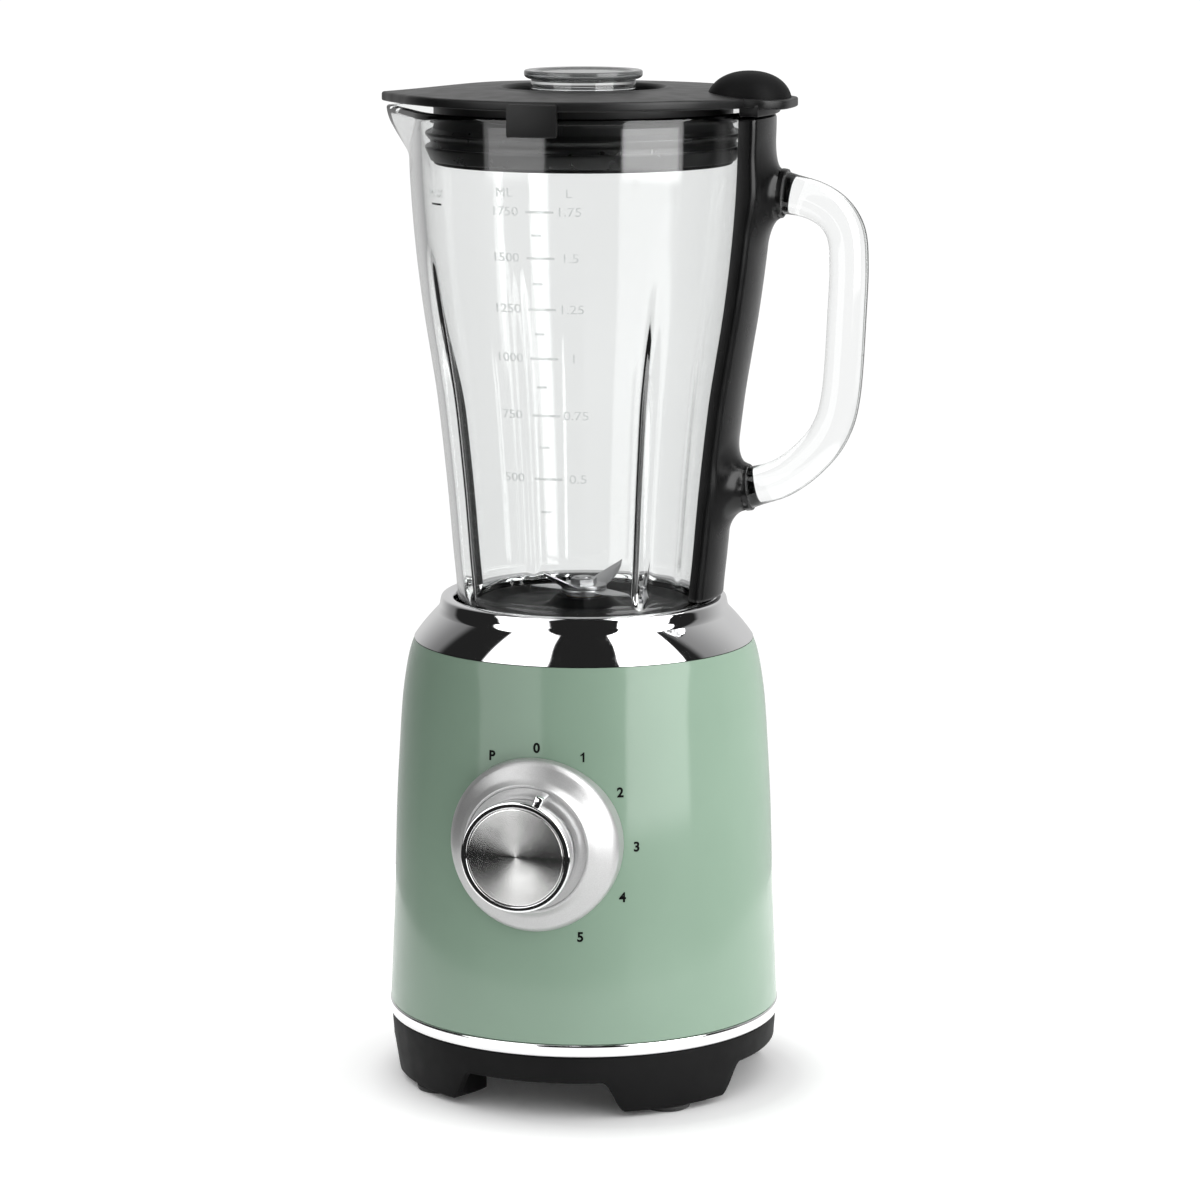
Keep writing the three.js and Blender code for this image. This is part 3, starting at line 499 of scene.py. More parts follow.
def circuit_board():
    s = Surface("circuit_board", Coat_Weight=0.6, Coat_Roughness=0.1)
    tracks = s.node("TexBrick", {"Vector": s.where, "Scale": 160.0, "Mortar Size": 0.06,
                                 "Color1": (0, 0, 0, 1), "Color2": (0.15, 0.15, 0.15, 1),
                                 "Mortar": (1, 1, 1, 1)}).outputs["Color"]
    s.coloured(tracks, (0.006, 0.05, 0.018), (0.025, 0.16, 0.06), (0.1, 0.9))
    s.rough(s.noise(300, 3), 0.3, 0.4)
    return s.bumped(tracks, 0.05).material


def ink():
    s = Surface("label_ink", Specular_IOR_Level=0.05)
    s.coloured(s.noise(400, 3), (0.002, 0.002, 0.002), (0.005, 0.005, 0.005))
    s.rough(s.noise(500, 3), 0.35, 0.5)
    return s.bumped(s.noise(1500, 2), 0.01).material


ENAMEL, CHROME, SATIN, SPUN = enamel(), chrome(), satin_silver(), spun_metal()
BLACK, RUBBER, SILICONE, GLASS = black_plastic(), rubber(), silicone(), glass()
BASE_BLACK = black_plastic("base_black", 0.5, 0.6, 0.03, 0.12)
LID_BLACK = black_plastic("lid_black", 0.36, 0.44, 0.004, 0.4)
HOOD_BLACK = black_plastic("lid_hood_black", 0.5, 0.6, 0.004, 0.08)
DAMP_BLACK = black_plastic("blade_carrier_black", 0.4, 0.55, 0.03, 0.12)
CLEAR, STEEL, INK, RELIEF = clear_plastic(), ground_steel(), ink(), relief_glass()
SMOKED = smoked_plastic()

# ---- Base ----

PAD_ORBIT = 68
PAD_RADIUS = 9.5
PAD_TOP = 2.1
PEG_RADIUS, PEG_TOP = 2.8, 10  # the pad's stem, which is pushed into the leg
CORNERS = {"front_right": 45, "rear_right": 135, "rear_left": -135, "front_left": -45}


def around(angle, radius, height=0):
    turn = math.radians(angle)
    return radius * math.sin(turn), -radius * math.cos(turn), height


def base_skirt():
    """A band that stands on four legs, with an arch between each two."""
    arch_top, wall, leg_inner = 15, 75.4, 56.5
    arch_radius, foot_radius, taper = 78, 77.7, 0.115
    arch_side, leg_side = (27.8, 36.6), (33.5, 38.5)  # how far across from an arch's middle
    sides = 480
    angle = np.linspace(-180, 180, sides, endpoint=False)
    from_arch = np.abs((angle + 45) % 90 - 45)
    across = arch_radius * np.sin(np.radians(from_arch))
    foot = arch_top + (SKIRT_BOTTOM - arch_top) * smoothstep(across, *arch_side)
    in_leg = smoothstep(across, *leg_side)
    inner = wall + (leg_inner - wall) * in_leg
    loops = []
    ledge = PLATE_BOTTOM - 0.3
    for degrees, low, inside in zip(angle, foot, inner):
        shape = [
            (inside, low, 0.15), (foot_radius + (low - SKIRT_BOTTOM) * taper, low, 1.0),
            (79.4, 15.8), (80.2, SKIRT_TOP, 0.5), (77.0, SKIRT_TOP, 0.4), (76.2, 19),
            (wall + 0.2, ledge, 0.1), (inside, ledge, 0.1),
        ]
        loops.append([around(degrees, r, z) for r, z in rounded(shape, 5)])
    loops = np.array(loops)
    shell = loops.reshape(-1, 3), strips(sides, loops.shape[1], True)
    piece("base_skirt_moulding", [shell], "base_skirt", BASE_BLACK)


def foot_pads():
    for corner, angle in CORNERS.items():
        profile = rounded([(0, 0), (PAD_RADIUS, 0, 1.2), (PAD_RADIUS, PAD_TOP, 0.3),
                           (PEG_RADIUS, PAD_TOP), (PEG_RADIUS, PEG_TOP, 0.6), (0, PEG_TOP)])
        shell = moved(lathe(profile, SMALL_SIDES), around(angle, PAD_ORBIT))
        piece("rubber_foot_" + corner, [shell], "foot_pad_" + corner, RUBBER)


def trim_ring():
    inner, outer = 77.6, 81
    profile = rounded([(inner, RING_BOTTOM), (outer, RING_BOTTOM, 1.2), (outer, RING_TOP, 1.0),
                       (inner, RING_TOP)])
    piece("chrome_trim_band", [lathe(profile)], "trim_ring", CHROME)


def body_shell():
    """A thin painted shell, with an inner ledge for the jar seat's flange."""
    wall, ledge_foot = 2.2, 177
    inside = BODY_OUTLINE[::-1] - (wall, 0)
    lip = [(67.6, 182), (68.6, 179.7), (62.6, 179.7), (62.6, ledge_foot), (69.4, ledge_foot)]
    profile = [*BODY_OUTLINE, *lip, *[p for p in inside if p[1] < ledge_foot - 1]]
    piece("enamelled_body", [lathe(profile)], "body_shell", ENAMEL)


def chrome_shoulder():
    """A flank that leans in ever more with height, and a bead rolled over the neck."""
    foot, foot_radius, rise = SHELL_TOP + 0.3, 69.8, 11.5
    lean, curl = 0.675, 0.0139
    flank = [(foot_radius - lean * up - curl * up**2, foot + up) for up in np.linspace(0, rise, 30)]
    bead = spline([(59.3, 196.9), (59.1, 198.2), (58.7, 200), (58.1, 200.8), (57, 201.3),
                   (56, NECK_TOP), (54.9, 201.1), (53.8, 200.3), (53.2, 199)], 36)
    under = [(53.2, 197.6), (57, 197.6), (58.4, 195.4), (61.4, 191.7), (64.8, 187.6),
             (68, foot)]
    piece("chrome_shoulder_plate", [lathe([*flank, *bead, *under], 192)], "chrome_shoulder", CHROME,
          sharp=60)


def cord_gland():
    """A flanged bush with a blind hole, laid along Y in the rear wall."""
    height = sum(span("cord_gland", Z)) / 2
    start, back = span("cord_gland", Y)
    hole, bush, flange, floor_top = 3.2, 5.8, 8.5, start + 3
    profile = rounded([(0, start), (bush, start, 0.4), (bush, back - 2.4),
                       (flange, back - 2.4, 0.3), (flange, back - 1.4, 0.5), (6.5, back, 0.4),
                       (hole, back, 0.4), (hole, floor_top), (0, floor_top)])
    laid = np.array([[1, 0, 0], [0, 0, 1], [0, 1, 0]])
    piece("cable_gland", [moved(lathe(profile, SMALL_SIDES), (0, 0, height), laid)], "cord_gland",
          RUBBER)


# ---- Dial ----

BEZEL_RADIUS = 34.9
RIM_SHIFT = 0.8  # how far the bezel's rim sits towards the handle from the dial's axis
# Each figure's angle from the top, and its distance from a middle just below the dial's axis.
LABELS = {"P": (-26, 40.2), "0": (2, 40.6), "1": (27.7, 42.4), "2": (56, 41), "3": (89, 40.2),
          "4": (119, 40.4), "5": (151, 40.4)}
LABELS_BELOW_AXIS = 2
POINTER_ANGLE = 21  # where the knob's pointer stands at rest


def body_depth(x, height):
    """How far in front of the body's foremost line its surface lies."""
    return np.sqrt(body_radius(height) ** 2 - x**2) - BODY_FRONT


def dial_bezel():
    """A dished ring, whose back lies on the body and whose rim follows half of the body's curve."""
    hole, neck, neck_depth = 12, 24.8, 8.6
    front = spline([(neck, neck_depth), (neck + 0.3, 9.2), (26, 9.3), (26.8, 8.5), (28.3, 7.2),
                    (30.2, 6.4), (32, 5.8), (33, 5.4)], 40)
    rim = spline([(33.3, 5.2), (34.3, 4.2), (BEZEL_RADIUS, 2.8), (BEZEL_RADIUS, 0.3)], 12)
    profile = np.array([(hole, 0), (hole, neck_depth), (neck - 0.3, neck_depth), *front, *rim,
                        (33, 0), (25, 0), (18, 0)])
    points, faces = lathe(profile, 192)
    x, up, depth = points[:, 0], -points[:, 1], points[:, 2]
    radius = np.hypot(x, up)
    in_back = depth < 0.31
    follow = np.where(in_back, 1, 0.5 * smoothstep(radius, 24, BEZEL_RADIUS - 0.5))
    x = x + RIM_SHIFT * smoothstep(radius, 25, BEZEL_RADIUS - 1)
    depth = depth + follow * (body_depth(x, up + DIAL_HEIGHT) + 0.2)
    laid = np.column_stack([x, -BODY_FRONT - depth, up + DIAL_HEIGHT])
    piece("satin_dial_bezel", [(laid, faces)], "dial_bezel", SATIN)


def dial_knob():
    """A cup round the spindle with a pocket for the face, and a pointer lug on its rim."""
    bore, radius, front = 3.4, 22.4, KNOB_REACH
    profile = rounded([(0, 20), (bore, 20), (bore, 10), (radius - 1, 10, 0.6), (radius, 11.5, 1),
                       (radius, front, 0.8), (20, front, 0.3), (19.8, 22.2), (0, 22.2)], 8)
    lug_foot, lug_half = 20.9, 1.9
    lug = block((-lug_half, 12, 0), (lug_half, 21.5, 5.1), 0.8)
    lug = moved(lug, (0, -BODY_FRONT, lug_foot), np.diag([1, -1, 1]))
    lug = moved(moved(lug, turn=turned_about(Y, POINTER_ANGLE)), (0, 0, DIAL_HEIGHT))
    piece("chrome_knob", [at_dial(lathe(profile)), lug], "dial_knob", CHROME)


def dial_face():
    profile = rounded([(0, 22.5), (19.5, 22.5), (19.5, 23.9, 0.4), (9, 23.3), (0, 23)])
    piece("spun_knob_face", [at_dial(lathe(profile))], "dial_face", SPUN)


def lettering(text, size, thickness, bold=0):
    """A word as a shell in X and Y, centred, with its thickness along Z."""
    curve = bpy.data.curves.new("lettering", "FONT")
    curve.body = text
    curve.size = size
    curve.extrude = thickness / 2
    curve.offset = bold
    curve.align_x, curve.align_y = "CENTER", "CENTER"
    curve.resolution_u = 6
    written = added("lettering", curve)
    bpy.context.view_layer.update()
    mesh = bpy.data.meshes.new_from_object(written)
    points = np.array([corner.co for corner in mesh.vertices])
    faces = [tuple(face.vertices) for face in mesh.polygons]
    bpy.data.objects.remove(written)
    bpy.data.curves.remove(curve)
    bpy.data.meshes.remove(mesh)
    return points, faces


def numeral_one():
    """A 1 with a flag, which the built-in lettering lacks."""
    outline = [(0, -1.95), (0.72, -1.95), (0.72, 1.95), (0.3, 1.95), (-0.2, 1.35), (-0.9, 1),
               (-0.9, 0.35), (0, 0.85)]
    return slab(outline, -0.07, 0.07, 0.01)


def on_surface(shell, angle, height, radius_at, lift):
    """Wraps a shell in X and Y round the drive axis, as writing on a turned surface."""
    points, faces = shell
    radius = radius_at(height + points[:, 1])
    turn = math.radians(angle) + points[:, 0] / radius
    radius = radius + lift + points[:, 2]
    x, y = radius * np.sin(turn), -radius * np.cos(turn)
    return np.column_stack([x, y, height + points[:, 1]]), faces


def dial_numbers():
    """P for pulse, 0 to 5 for the speeds."""
    shells = []
    size, thickness, bold = 5.4, 0.14, 0.17
    for text, (degrees, orbit) in LABELS.items():
        x = orbit * math.sin(math.radians(degrees))
        height = DIAL_HEIGHT - LABELS_BELOW_AXIS + orbit * math.cos(math.radians(degrees))
        angle = math.degrees(math.asin(x / body_radius(height)))
        written = numeral_one() if text == "1" else lettering(text, size, thickness, bold)
        shells.append(on_surface(written, angle, height, body_radius, 0.03))
    piece("dial_numbers", shells, None, INK, body="base")


# ---- Jar ----

RIB_ANGLES = (43, 135, -137, -52)
RIB_TOP = 350
RIB_WIDTH = 2.4  # degrees from a rib's middle to where it has shrunk to a third
FRONT_RIB, REAR_RIB = 4.2, 2  # how far they stand out from the wall
RIB_RISE = 75  # below the top, how long a rib takes to reach its full depth
BOWL_TOP, LIP_FOOT = 202, 396  # the straight of the inner wall


def spout_radius(rim, tip, angle):
    """How far a rim reaches, when two straight sides run from a spout's tip to touch it."""
    touch = np.arccos(np.clip(rim / tip, -1, 1))
    away = np.abs(np.radians((angle + 270) % 360 - 180))
    return np.where(away < touch, rim / np.cos(np.maximum(touch - away, 0)), rim)


def poured(radius, height, angle, foot=364, pull=12.8):
    """The pull of the jar's spout, which grows from its foot to the rim."""
    rise = smoothstep(height, foot, JAR_TOP)
    return spout_radius(radius, radius + pull * rise**1.5, angle)


HANDLE_RADIUS = 7.9
HANDLE_PATH = spline(
    [(78, 368.4), (84, 367.6), (95.4, 365), (103.8, 360), (108.8, 352), (110, 340), (109.5, 322),
     (107.4, 288), (103, 272), (94, 260.5), (83, 252.4), (71, 248.4), (65, 247.4)],
    150,
)


def jar_body():
    lip = spline([JAR_OUTLINE[-1], (70.6, 399.2), (69.8, JAR_TOP), (68.2, JAR_TOP), (66.6, 399.2),
                  (65.7, 397)], 14)
    inside = [(r - JAR_WALL, z) for r, z in JAR_OUTLINE[::-1] if BOWL_TOP < z < LIP_FOOT]
    bowl = rounded([(46.8, 201), (45, 191, 7), (31, 191, 0.6), (30, 190), (30, 183, 0.5),
                    (44.5, 182.5, 1.2), (44.5, 171), (45.2, JAR_FOOT, 0.8), (50, JAR_FOOT, 1.2),
                    (50.7, 171.5)])
    profile = np.array([*JAR_OUTLINE[:-1], *lip, *inside, *bowl])
    first_inner = len(JAR_OUTLINE) - 1 + len(lip)
    last_inner = first_inner + len(inside)

    def warp(radius, height, angle, step):
        radius = poured(radius, height, angle)
        inner = (step >= first_inner) & (step < last_inner)
        off_rib = np.min([np.abs(rib - angle) for rib in RIB_ANGLES], 0)
        rise = smoothstep(RIB_TOP - height, 0, RIB_RISE) * smoothstep(height, 200, 208)
        depth = np.where(np.abs(angle) < 90, FRONT_RIB, REAR_RIB)
        rib = depth * rise * np.exp(-((off_rib / RIB_WIDTH) ** 2))
        return np.where(inner, radius - rib, radius), height

    return lathe(profile, 256, warp)


def swept(path, radii, sides=40):
    """A round bar along a path of (x, height), with a radius at each place."""
    along = np.gradient(path, axis=0)
    along /= np.linalg.norm(along, axis=1)[:, None]
    turns = np.linspace(0, 2 * math.pi, sides, endpoint=False)
    loops = []
    for (x, z), (dx, dz), radius in zip(path, along, radii):
        loops.append([(x - dz * radius * math.cos(t), radius * math.sin(t),
                       z + dx * radius * math.cos(t)) for t in turns])
    return loft(loops)


def glass_jar():
    """The jar and its handle, which flares a little at each root."""
    length = np.linspace(0, 1, len(HANDLE_PATH))
    flare = 1.1 * (1 - smoothstep(length, 0.04, 0.14)) + 0.9 * smoothstep(length, 0.87, 0.96)
    handle = swept(HANDLE_PATH, HANDLE_RADIUS + flare)
    piece("pressed_glass_jar", [jar_body(), handle], "glass_jar", GLASS, sharp=50)


def graduations():
    """The scale pressed into the jar's front, in millilitres and litres."""
    raised, lift = 0.16, 0.16
    number_size, max_size = 5, 4.6
    number_offset, wide = 13.2, 1.2  # from the scale's middle line, and how much wider than tall
    max_angle = -41
    rows = {363.9: ("1750", "1.75"), 345.7: ("1500", "1.5"), 325.4: ("1250", "1.25"),
            305.7: ("1000", "1"), 282.6: ("750", "0.75"), 256.9: ("500", "0.5")}
    heights = sorted(rows)
    between = [(a + b) / 2 for a, b in zip(heights, heights[1:])] + [243.5]

    def dash(half, height, angle=0.0):
        strip = block((-half, -0.4, 0), (half, 0.4, raised), 0.1)
        return on_surface(strip, angle, height, jar_radius, 0.02)

    shells = [dash(5.6, height, 1.2) for height in heights]
    shells += [dash(1.9, height) for height in between]
    for height, words in list(rows.items()) + [(371.2, ("ML", "L"))]:
        for word, side in zip(words, (-1, 1)):
            angle = side * math.degrees(number_offset / jar_radius(height))
            written = moved(lettering(word, number_size, raised), turn=np.diag([wide, 1, 1]))
            shells.append(on_surface(written, angle, height, jar_radius, lift))
    written = lettering("MAX", max_size, raised)
    shells.append(on_surface(written, max_angle, 368.8, jar_radius, lift))
    shells.append(dash(3.6, 364.6, max_angle))
    piece("pressed_scale", shells, None, RELIEF, body="jar")


SPINE_HALF_WIDTH = 19
# Each boss: its height, its radius at the mouth and at the foot, where its mouth is, its tilt.
BOSSES = ((367.3, 10, 25, 84, -6), (248.2, 9.6, 22, 70.6, 6))


def handle_spine():
    """A strap down the jar's side that swells into a boss at each root of the glass handle."""
    half, edge = SPINE_HALF_WIDTH, 2.0
    off_glass, end_round, collar_depth = 0.6, 1.6, 2.4
    turns = np.radians(np.linspace(0, 90, 6))
    left = [(-half + edge * (1 - math.sin(t)), edge * (math.cos(t) - 1)) for t in turns[::-1]]
    top = [(s, 0) for s in np.linspace(-half + edge, half - edge, 61)[1:-1]]
    right = [(-s, d) for s, d in left[::-1]]
    outer = np.array([*left, *top, *right])
    inner = np.linspace(half, -half, 15)
    loops = []
    rows = np.linspace(SPINE_BOTTOM, SPINE_TOP, 290)
    for height in rows:
        from_end = min(height - SPINE_BOTTOM, SPINE_TOP - height)
        shrink = end_round * (1 - math.sqrt(1 - (1 - min(from_end / end_round, 1)) ** 2))
        share = (height - SPINE_BOTTOM) / (SPINE_TOP - SPINE_BOTTOM)
        side = outer[:, 0] * (1 - shrink / half)
        base = np.sqrt((jar_radius(height) + off_glass) ** 2 - side**2)
        depth = 4.6 + 2 * share + 0.6 * (1 - (side / half) ** 2) + outer[:, 1] - shrink
        for middle, mouth, foot, reach, _ in BOSSES:
            away = np.hypot(side, height - middle)
            t = np.clip((foot - away) / (foot - mouth), 0, 1)
            tall = reach - 1.6 - (base + depth)
            depth = depth + np.maximum(tall, 0) * (1 - np.sqrt(1 - t**2 * 0.9995))
        back = np.sqrt((jar_radius(height) + off_glass) ** 2 - inner**2)
        loop = [(x, y, height) for x, y in zip(base + depth, side)]
        loop += [(x, y, height) for x, y in zip(back, inner * (1 - shrink / half))]
        loops.append(loop)
    shells = [loft(loops)]
    for middle, mouth, _, reach, tilt in BOSSES:
        collar = rounded([(mouth - 1.1, -collar_depth), (mouth, -collar_depth, 0.2),
                          (mouth - 0.1, 0, 0.5), (mouth - 1.1, 0, 0.4)])
        ring = moved(lathe(collar, SMALL_SIDES), turn=turned_about(Y, 90 - tilt))
        shells.append(moved(ring, (reach, 0, middle)))
    piece("handle_strap", shells, "handle_spine", BLACK)


def blade_carrier():
    """The moulding that fills the jar's floor and holds the blades' bushes."""
    profile = rounded([
        (7.3, 178, 0.4), (29.5, 178, 0.8), (29.5, 193.5), (40, 193.5, 0.5), (43.6, 195, 0.6),
        (45, 197.8, 0.4), (44.6, 198.8, 0.4), (42.6, 198, 0.8), (38.4, 196.5, 1), (15, 197.3, 2),
        (11.2, 201, 0.8), (7.3, 201, 0.3),
    ])
    piece("blade_carrier_moulding", [lathe(profile)], "blade_carrier", DAMP_BLACK)


BLADE_THICKNESS = 1.5


def one_blade(bottom, turn, raise_angle, reach):
    """Two sharpened arms and the hub between them, ground thinner towards their edges."""
    thick, hole, hub, arm_foot = BLADE_THICKNESS, 4.3, 9.4, 7.6
    ring = rounded([(hole, 0, 0.2), (hub, 0, 0.3), (hub, thick, 0.3), (hole, thick, 0.2)])
    shells = [moved(lathe(ring, SMALL_SIDES), (0, 0, bottom))]
    along = np.linspace(0, 1, 26)
    half_width, sweep = 5.4, 1.5  # at the arm's foot, and how far its tip is swept sideways
    lower = -half_width * (1 - along**2.4) + sweep * along**2
    upper = half_width * (1 - along**1.7) + sweep * along**1.7
    loops = []
    for t, low, high in zip(along, lower, upper):
        middle, half = (low + high) / 2, max((high - low) / 2, 0.15)
        thin = thick / 2 * (1 - 0.6 * t**3)
        ground = 0.45 * half
        x = t * reach
        loops.append([(x, middle - half, thin * 0.2), (x, middle - half + ground, thin),
                      (x, middle + half - ground, thin), (x, middle + half, thin * 0.2),
                      (x, middle + half, -thin * 0.2), (x, middle + half - ground, -thin),
                      (x, middle - half + ground, -thin), (x, middle - half, -thin * 0.2)])
    for direction in (0, 180):
        arm = moved(loft(loops), turn=turned_about(Y, -raise_angle))
        arm = moved(arm, (arm_foot, 0, bottom + thick / 2))
        shells.append(moved(arm, turn=turned_about(Z, direction + turn)))
    return shells


def blades():
    """Two crossed blades under a low nut, on a shaft with a thinner end."""
    foot, hub_top = span("lower_blade", Z)[0] + 1.6, span("upper_blade", Z)[0] + 1.2
    flat = one_blade(foot, turn=-20, raise_angle=-3, reach=18.5)
    raised = one_blade(hub_top - BLADE_THICKNESS, turn=57, raise_angle=27, reach=17)
    piece("flat_blade", flat, "lower_blade", STEEL, sharp=20)
    piece("raised_blade", raised, "upper_blade", STEEL, sharp=20)
    bore, flats, nut_top = 3.8, 5.6, hub_top + 2.6
    nut = rounded([(bore, hub_top), (flats, hub_top), (flats, hub_top + 2.2), (5, nut_top, 0.2),
                   (bore, nut_top, 0.2)])
    piece("low_blade_nut", [lathe(nut, 6)], "blade_nut", STEEL, sharp=20)
    left, right = span("blade_shaft", X)
    bottom = span("blade_shaft", Z)[0]
    radius = (right - left) / 2 - 0.12
    end_radius, top = 3.1, hub_top + 3
    shaft = rounded([(0, bottom), (radius, bottom, 0.3), (radius, hub_top, 0.2),
                     (end_radius, hub_top), (end_radius, top, 0.3), (0, top)])
    piece("turned_blade_shaft", [lathe(shaft, SMALL_SIDES)], "blade_shaft", STEEL)


# ---- Lid and measuring cap ----

RIM_BOTTOM = 403.1
RIM_TOP = 406.9
LID_RADIUS = 74
LID_SKIRT = 60.5
LID_FOOT = span("lid", Z)[0]
RECESS_FLOOR = 405
CREST = 408.7
DROOP = 1.6


def drooped(points):
    """The lid's tip and tongue hang a little lower than its middle."""
    points = points.copy()
    points[:, 2] -= DROOP * smoothstep(np.abs(points[:, 0]), 50, 88)
    return points


def lid_cover():
    top = spline([(72.9, RIM_TOP), (66, 407.2), (56, 407.7), (46, 408.1), (37, 408.25)], 30)
    crest = spline([(36, 408.35), (35, CREST - 0.1), (34.2, CREST), (33.4, CREST - 0.3),
                    (32.6, 407.4), (32.2, 405.6)], 14)
    shape = [(32, RECESS_FLOOR, 0.5), (21.7, RECESS_FLOOR, 0.4), (21.7, 395, 0.3), (23.6, 395, 0.3),
             (23.6, 403.2, 1), (57.5, 402.4, 1), (57.5, LID_FOOT, 0.8), (LID_SKIRT, LID_FOOT, 0.8),
             (LID_SKIRT, RIM_BOTTOM, 0.5), (LID_RADIUS, RIM_BOTTOM, 0.9),
             (LID_RADIUS, RIM_TOP - 0.1, 1.2)]
    under = rounded([tuple(crest[-1]), *shape, tuple(top[0])])[1:-1]
    profile = np.array([*top, *crest, *under])

    def warp(radius, height, angle, step):
        pulled = spout_radius(radius, radius + SPOUT_TIP - LID_RADIUS, angle)
        share = smoothstep(radius, 56, 71) * (height > RIM_BOTTOM - 0.1)
        return radius + (pulled - radius) * share, height

    points, faces = lathe(profile, 256, warp)
    low = points[:, 2] > RIM_BOTTOM - 0.1
    points[low] = drooped(points)[low]
    return points, faces


def ellipsoid(middle, semi, power=2.15, rows=40, sides=72):
    """A slightly squared ellipsoid."""
    rise = np.radians(np.linspace(-90, 90, rows))[1:-1]
    turn = np.radians(np.linspace(0, 360, sides, endpoint=False))

    def squared(value):
        return np.sign(value) * np.abs(value) ** (2 / power)

    loops = [np.column_stack([middle[0] + semi[0] * squared(np.cos(r)) * squared(np.cos(turn)),
                              middle[1] + semi[1] * squared(np.cos(r)) * squared(np.sin(turn)),
                              np.full(sides, middle[2] + semi[2] * squared(np.sin(r)))])
             for r in rise]
    return loft(loops)


def arc_band(inner, outer, middle, half):
    """An outline between two radii, for half degrees to each side of a middle one."""
    turn = np.linspace(middle - half, middle + half, 17)
    return [around(t, outer)[:2] for t in turn] + [around(t, inner)[:2] for t in turn[::-1]]


def grip_tab(front):
    """A tab on the lid's rim, bent to it."""
    inner, outer, bottom, half = 72.8, 76.7, 393.2, 7.5
    return slab(arc_band(inner, outer, 0 if front else 180, half), bottom, RIM_TOP - 0.9, 0.7)


def lid():
    """The cover, its tongue with a collar over the handle strap, the thumb hood on the tongue, and
    two grip tabs."""
    half, hood_foot, hood_end = 20, 403, 85
    smooth = np.vstack([[(60, -half)], spline([(70, -half), (78.5, -half + 0.6), (84, -half + 5),
                                               (86.4, -10), (TONGUE_END, 0), (86.4, 10),
                                               (84, half - 5), (78.5, half - 0.6), (70, half)], 60),
                        [(60, half)]])
    tongue, tongue_faces = slab(smooth, RIM_BOTTOM, RIM_TOP, 0.9)
    hood, hood_faces = ellipsoid((68.6, 0, hood_foot), (17, 18.5, LID_TOP - hood_foot))
    hood[:, 0] = np.minimum(hood[:, 0], hood_end)
    hood[:, 2] = np.maximum(hood[:, 2], RIM_BOTTOM - 0.6)
    collar = slab(arc_band(71.3, 79.5, 90, 14.8), SPINE_TOP + 0.4, RIM_BOTTOM + 0.6, 0.9)
    shells = [lid_cover(), (drooped(tongue), tongue_faces), collar, grip_tab(True), grip_tab(False)]
    piece("lid_moulding", shells, "lid", LID_BLACK)
    piece("lid_hood", [(hood, hood_faces)], None, HOOD_BLACK, body=BODY_OF["lid"])


def lid_seal():
    """A sleeve on the lid's skirt, with two lips."""
    inner = LID_SKIRT + 0.3
    profile = rounded([
        (inner, 380), (61.8, 380, 0.4), (64, 385.2, 0.3), (63.9, 386, 0.2), (61.9, 385.8, 0.5),
        (61.9, 388, 0.5), (64, 390.6, 0.3), (63.9, 391.4, 0.2), (61.9, 391, 0.5), (inner, 393),
    ], 4)
    piece("lid_lip_seal", [lathe(profile)], "lid_seal", SILICONE)


def measuring_cap():
    """A clear cup that hangs in the lid by its collar, upside down, and the smoked disc on it."""
    profile = rounded([
        (0, 409.2), (18.8, 409.2, 1.5), (19, 389, 0.5), (21, 389, 0.5), (21.2, 405.4, 0.3),
        (23.4, 405.4, 0.4), (23.4, 406.6, 0.4), (21.2, 406.8, 0.5), (21.2, 411.5, 0.5), (0, 411.5),
    ])
    piece("clear_measuring_cup", [lathe(profile, 128)], "measuring_cap", CLEAR)
    disc = rounded([(0, 411.8), (22.4, 411.8, 1), (24, 413, 0.8), (24, CAP_TOP, 1.1),
                    (19.6, CAP_TOP - 0.3, 1), (18.6, CAP_TOP - 0.9, 1), (0, CAP_TOP - 0.6)])
    piece("smoked_cap_disc", [lathe(disc, 128)], "cap_disc", SMOKED)


# ---- CAD nodes that keep their shape and get a finish ----


def finish_cad_nodes():
    """A material for each CAD solid that no finer piece stands for."""
    damper = rubber("damper_rubber", 0.016)
    finishes = {
        "black_plastic": black_plastic("moulded_black", 0.36, 0.5, 0.03, 0.3),
        "rubber": damper, "silicone": SILICONE, "steel": STEEL, "aluminium": cast_aluminium(),
        "laminations": laminations(), "copper": copper(), "bronze": sintered_bronze(),
        "carbon": carbon(), "circuit_board": circuit_board(),
    }
    for name, node in frame["nodes"].items():
        if not node.hide_render:
            node.data.materials.clear()
            node.data.materials.append(finishes[SLOT_OF[name]])


# ---- Camera, floor and light ----

VIEW_AZIMUTH = 15.5  # degrees from the front towards the handle
CAMERA_REACH = 1.742  # metres from the drive axis
CAMERA_HEIGHT = 0.5154
CAMERA_PITCH = 10.32  # degrees below the horizon
CAMERA_YAW = 0.22
SENSOR = 36.0
LENS = 129.0
FLOOR_LIGHT = 1.05  # how bright the floor is where nothing shades it


def camera():
    """A long lens that stands a little right of the dial and above the jar."""
    data = bpy.data.cameras.new("camera")
    data.lens, data.sensor_width = LENS, SENSOR
    made = added("camera", data)
    turn = math.radians(VIEW_AZIMUTH)
    made.location = (AXIS[0] + CAMERA_REACH * math.sin(turn),
                     AXIS[1] - CAMERA_REACH * math.cos(turn), CAMERA_HEIGHT)
    made.rotation_euler = (math.radians(90 - CAMERA_PITCH), 0,
                           math.radians(VIEW_AZIMUTH - CAMERA_YAW))
    bpy.context.scene.camera = made


FLOOR_REACH = 0.38
GLOW = 0.02, 0.3  # the floor's own light, near the base and away from it
GLOW_PLACES = 0.074, 0.105  # metres from the middle where it starts and stops rising


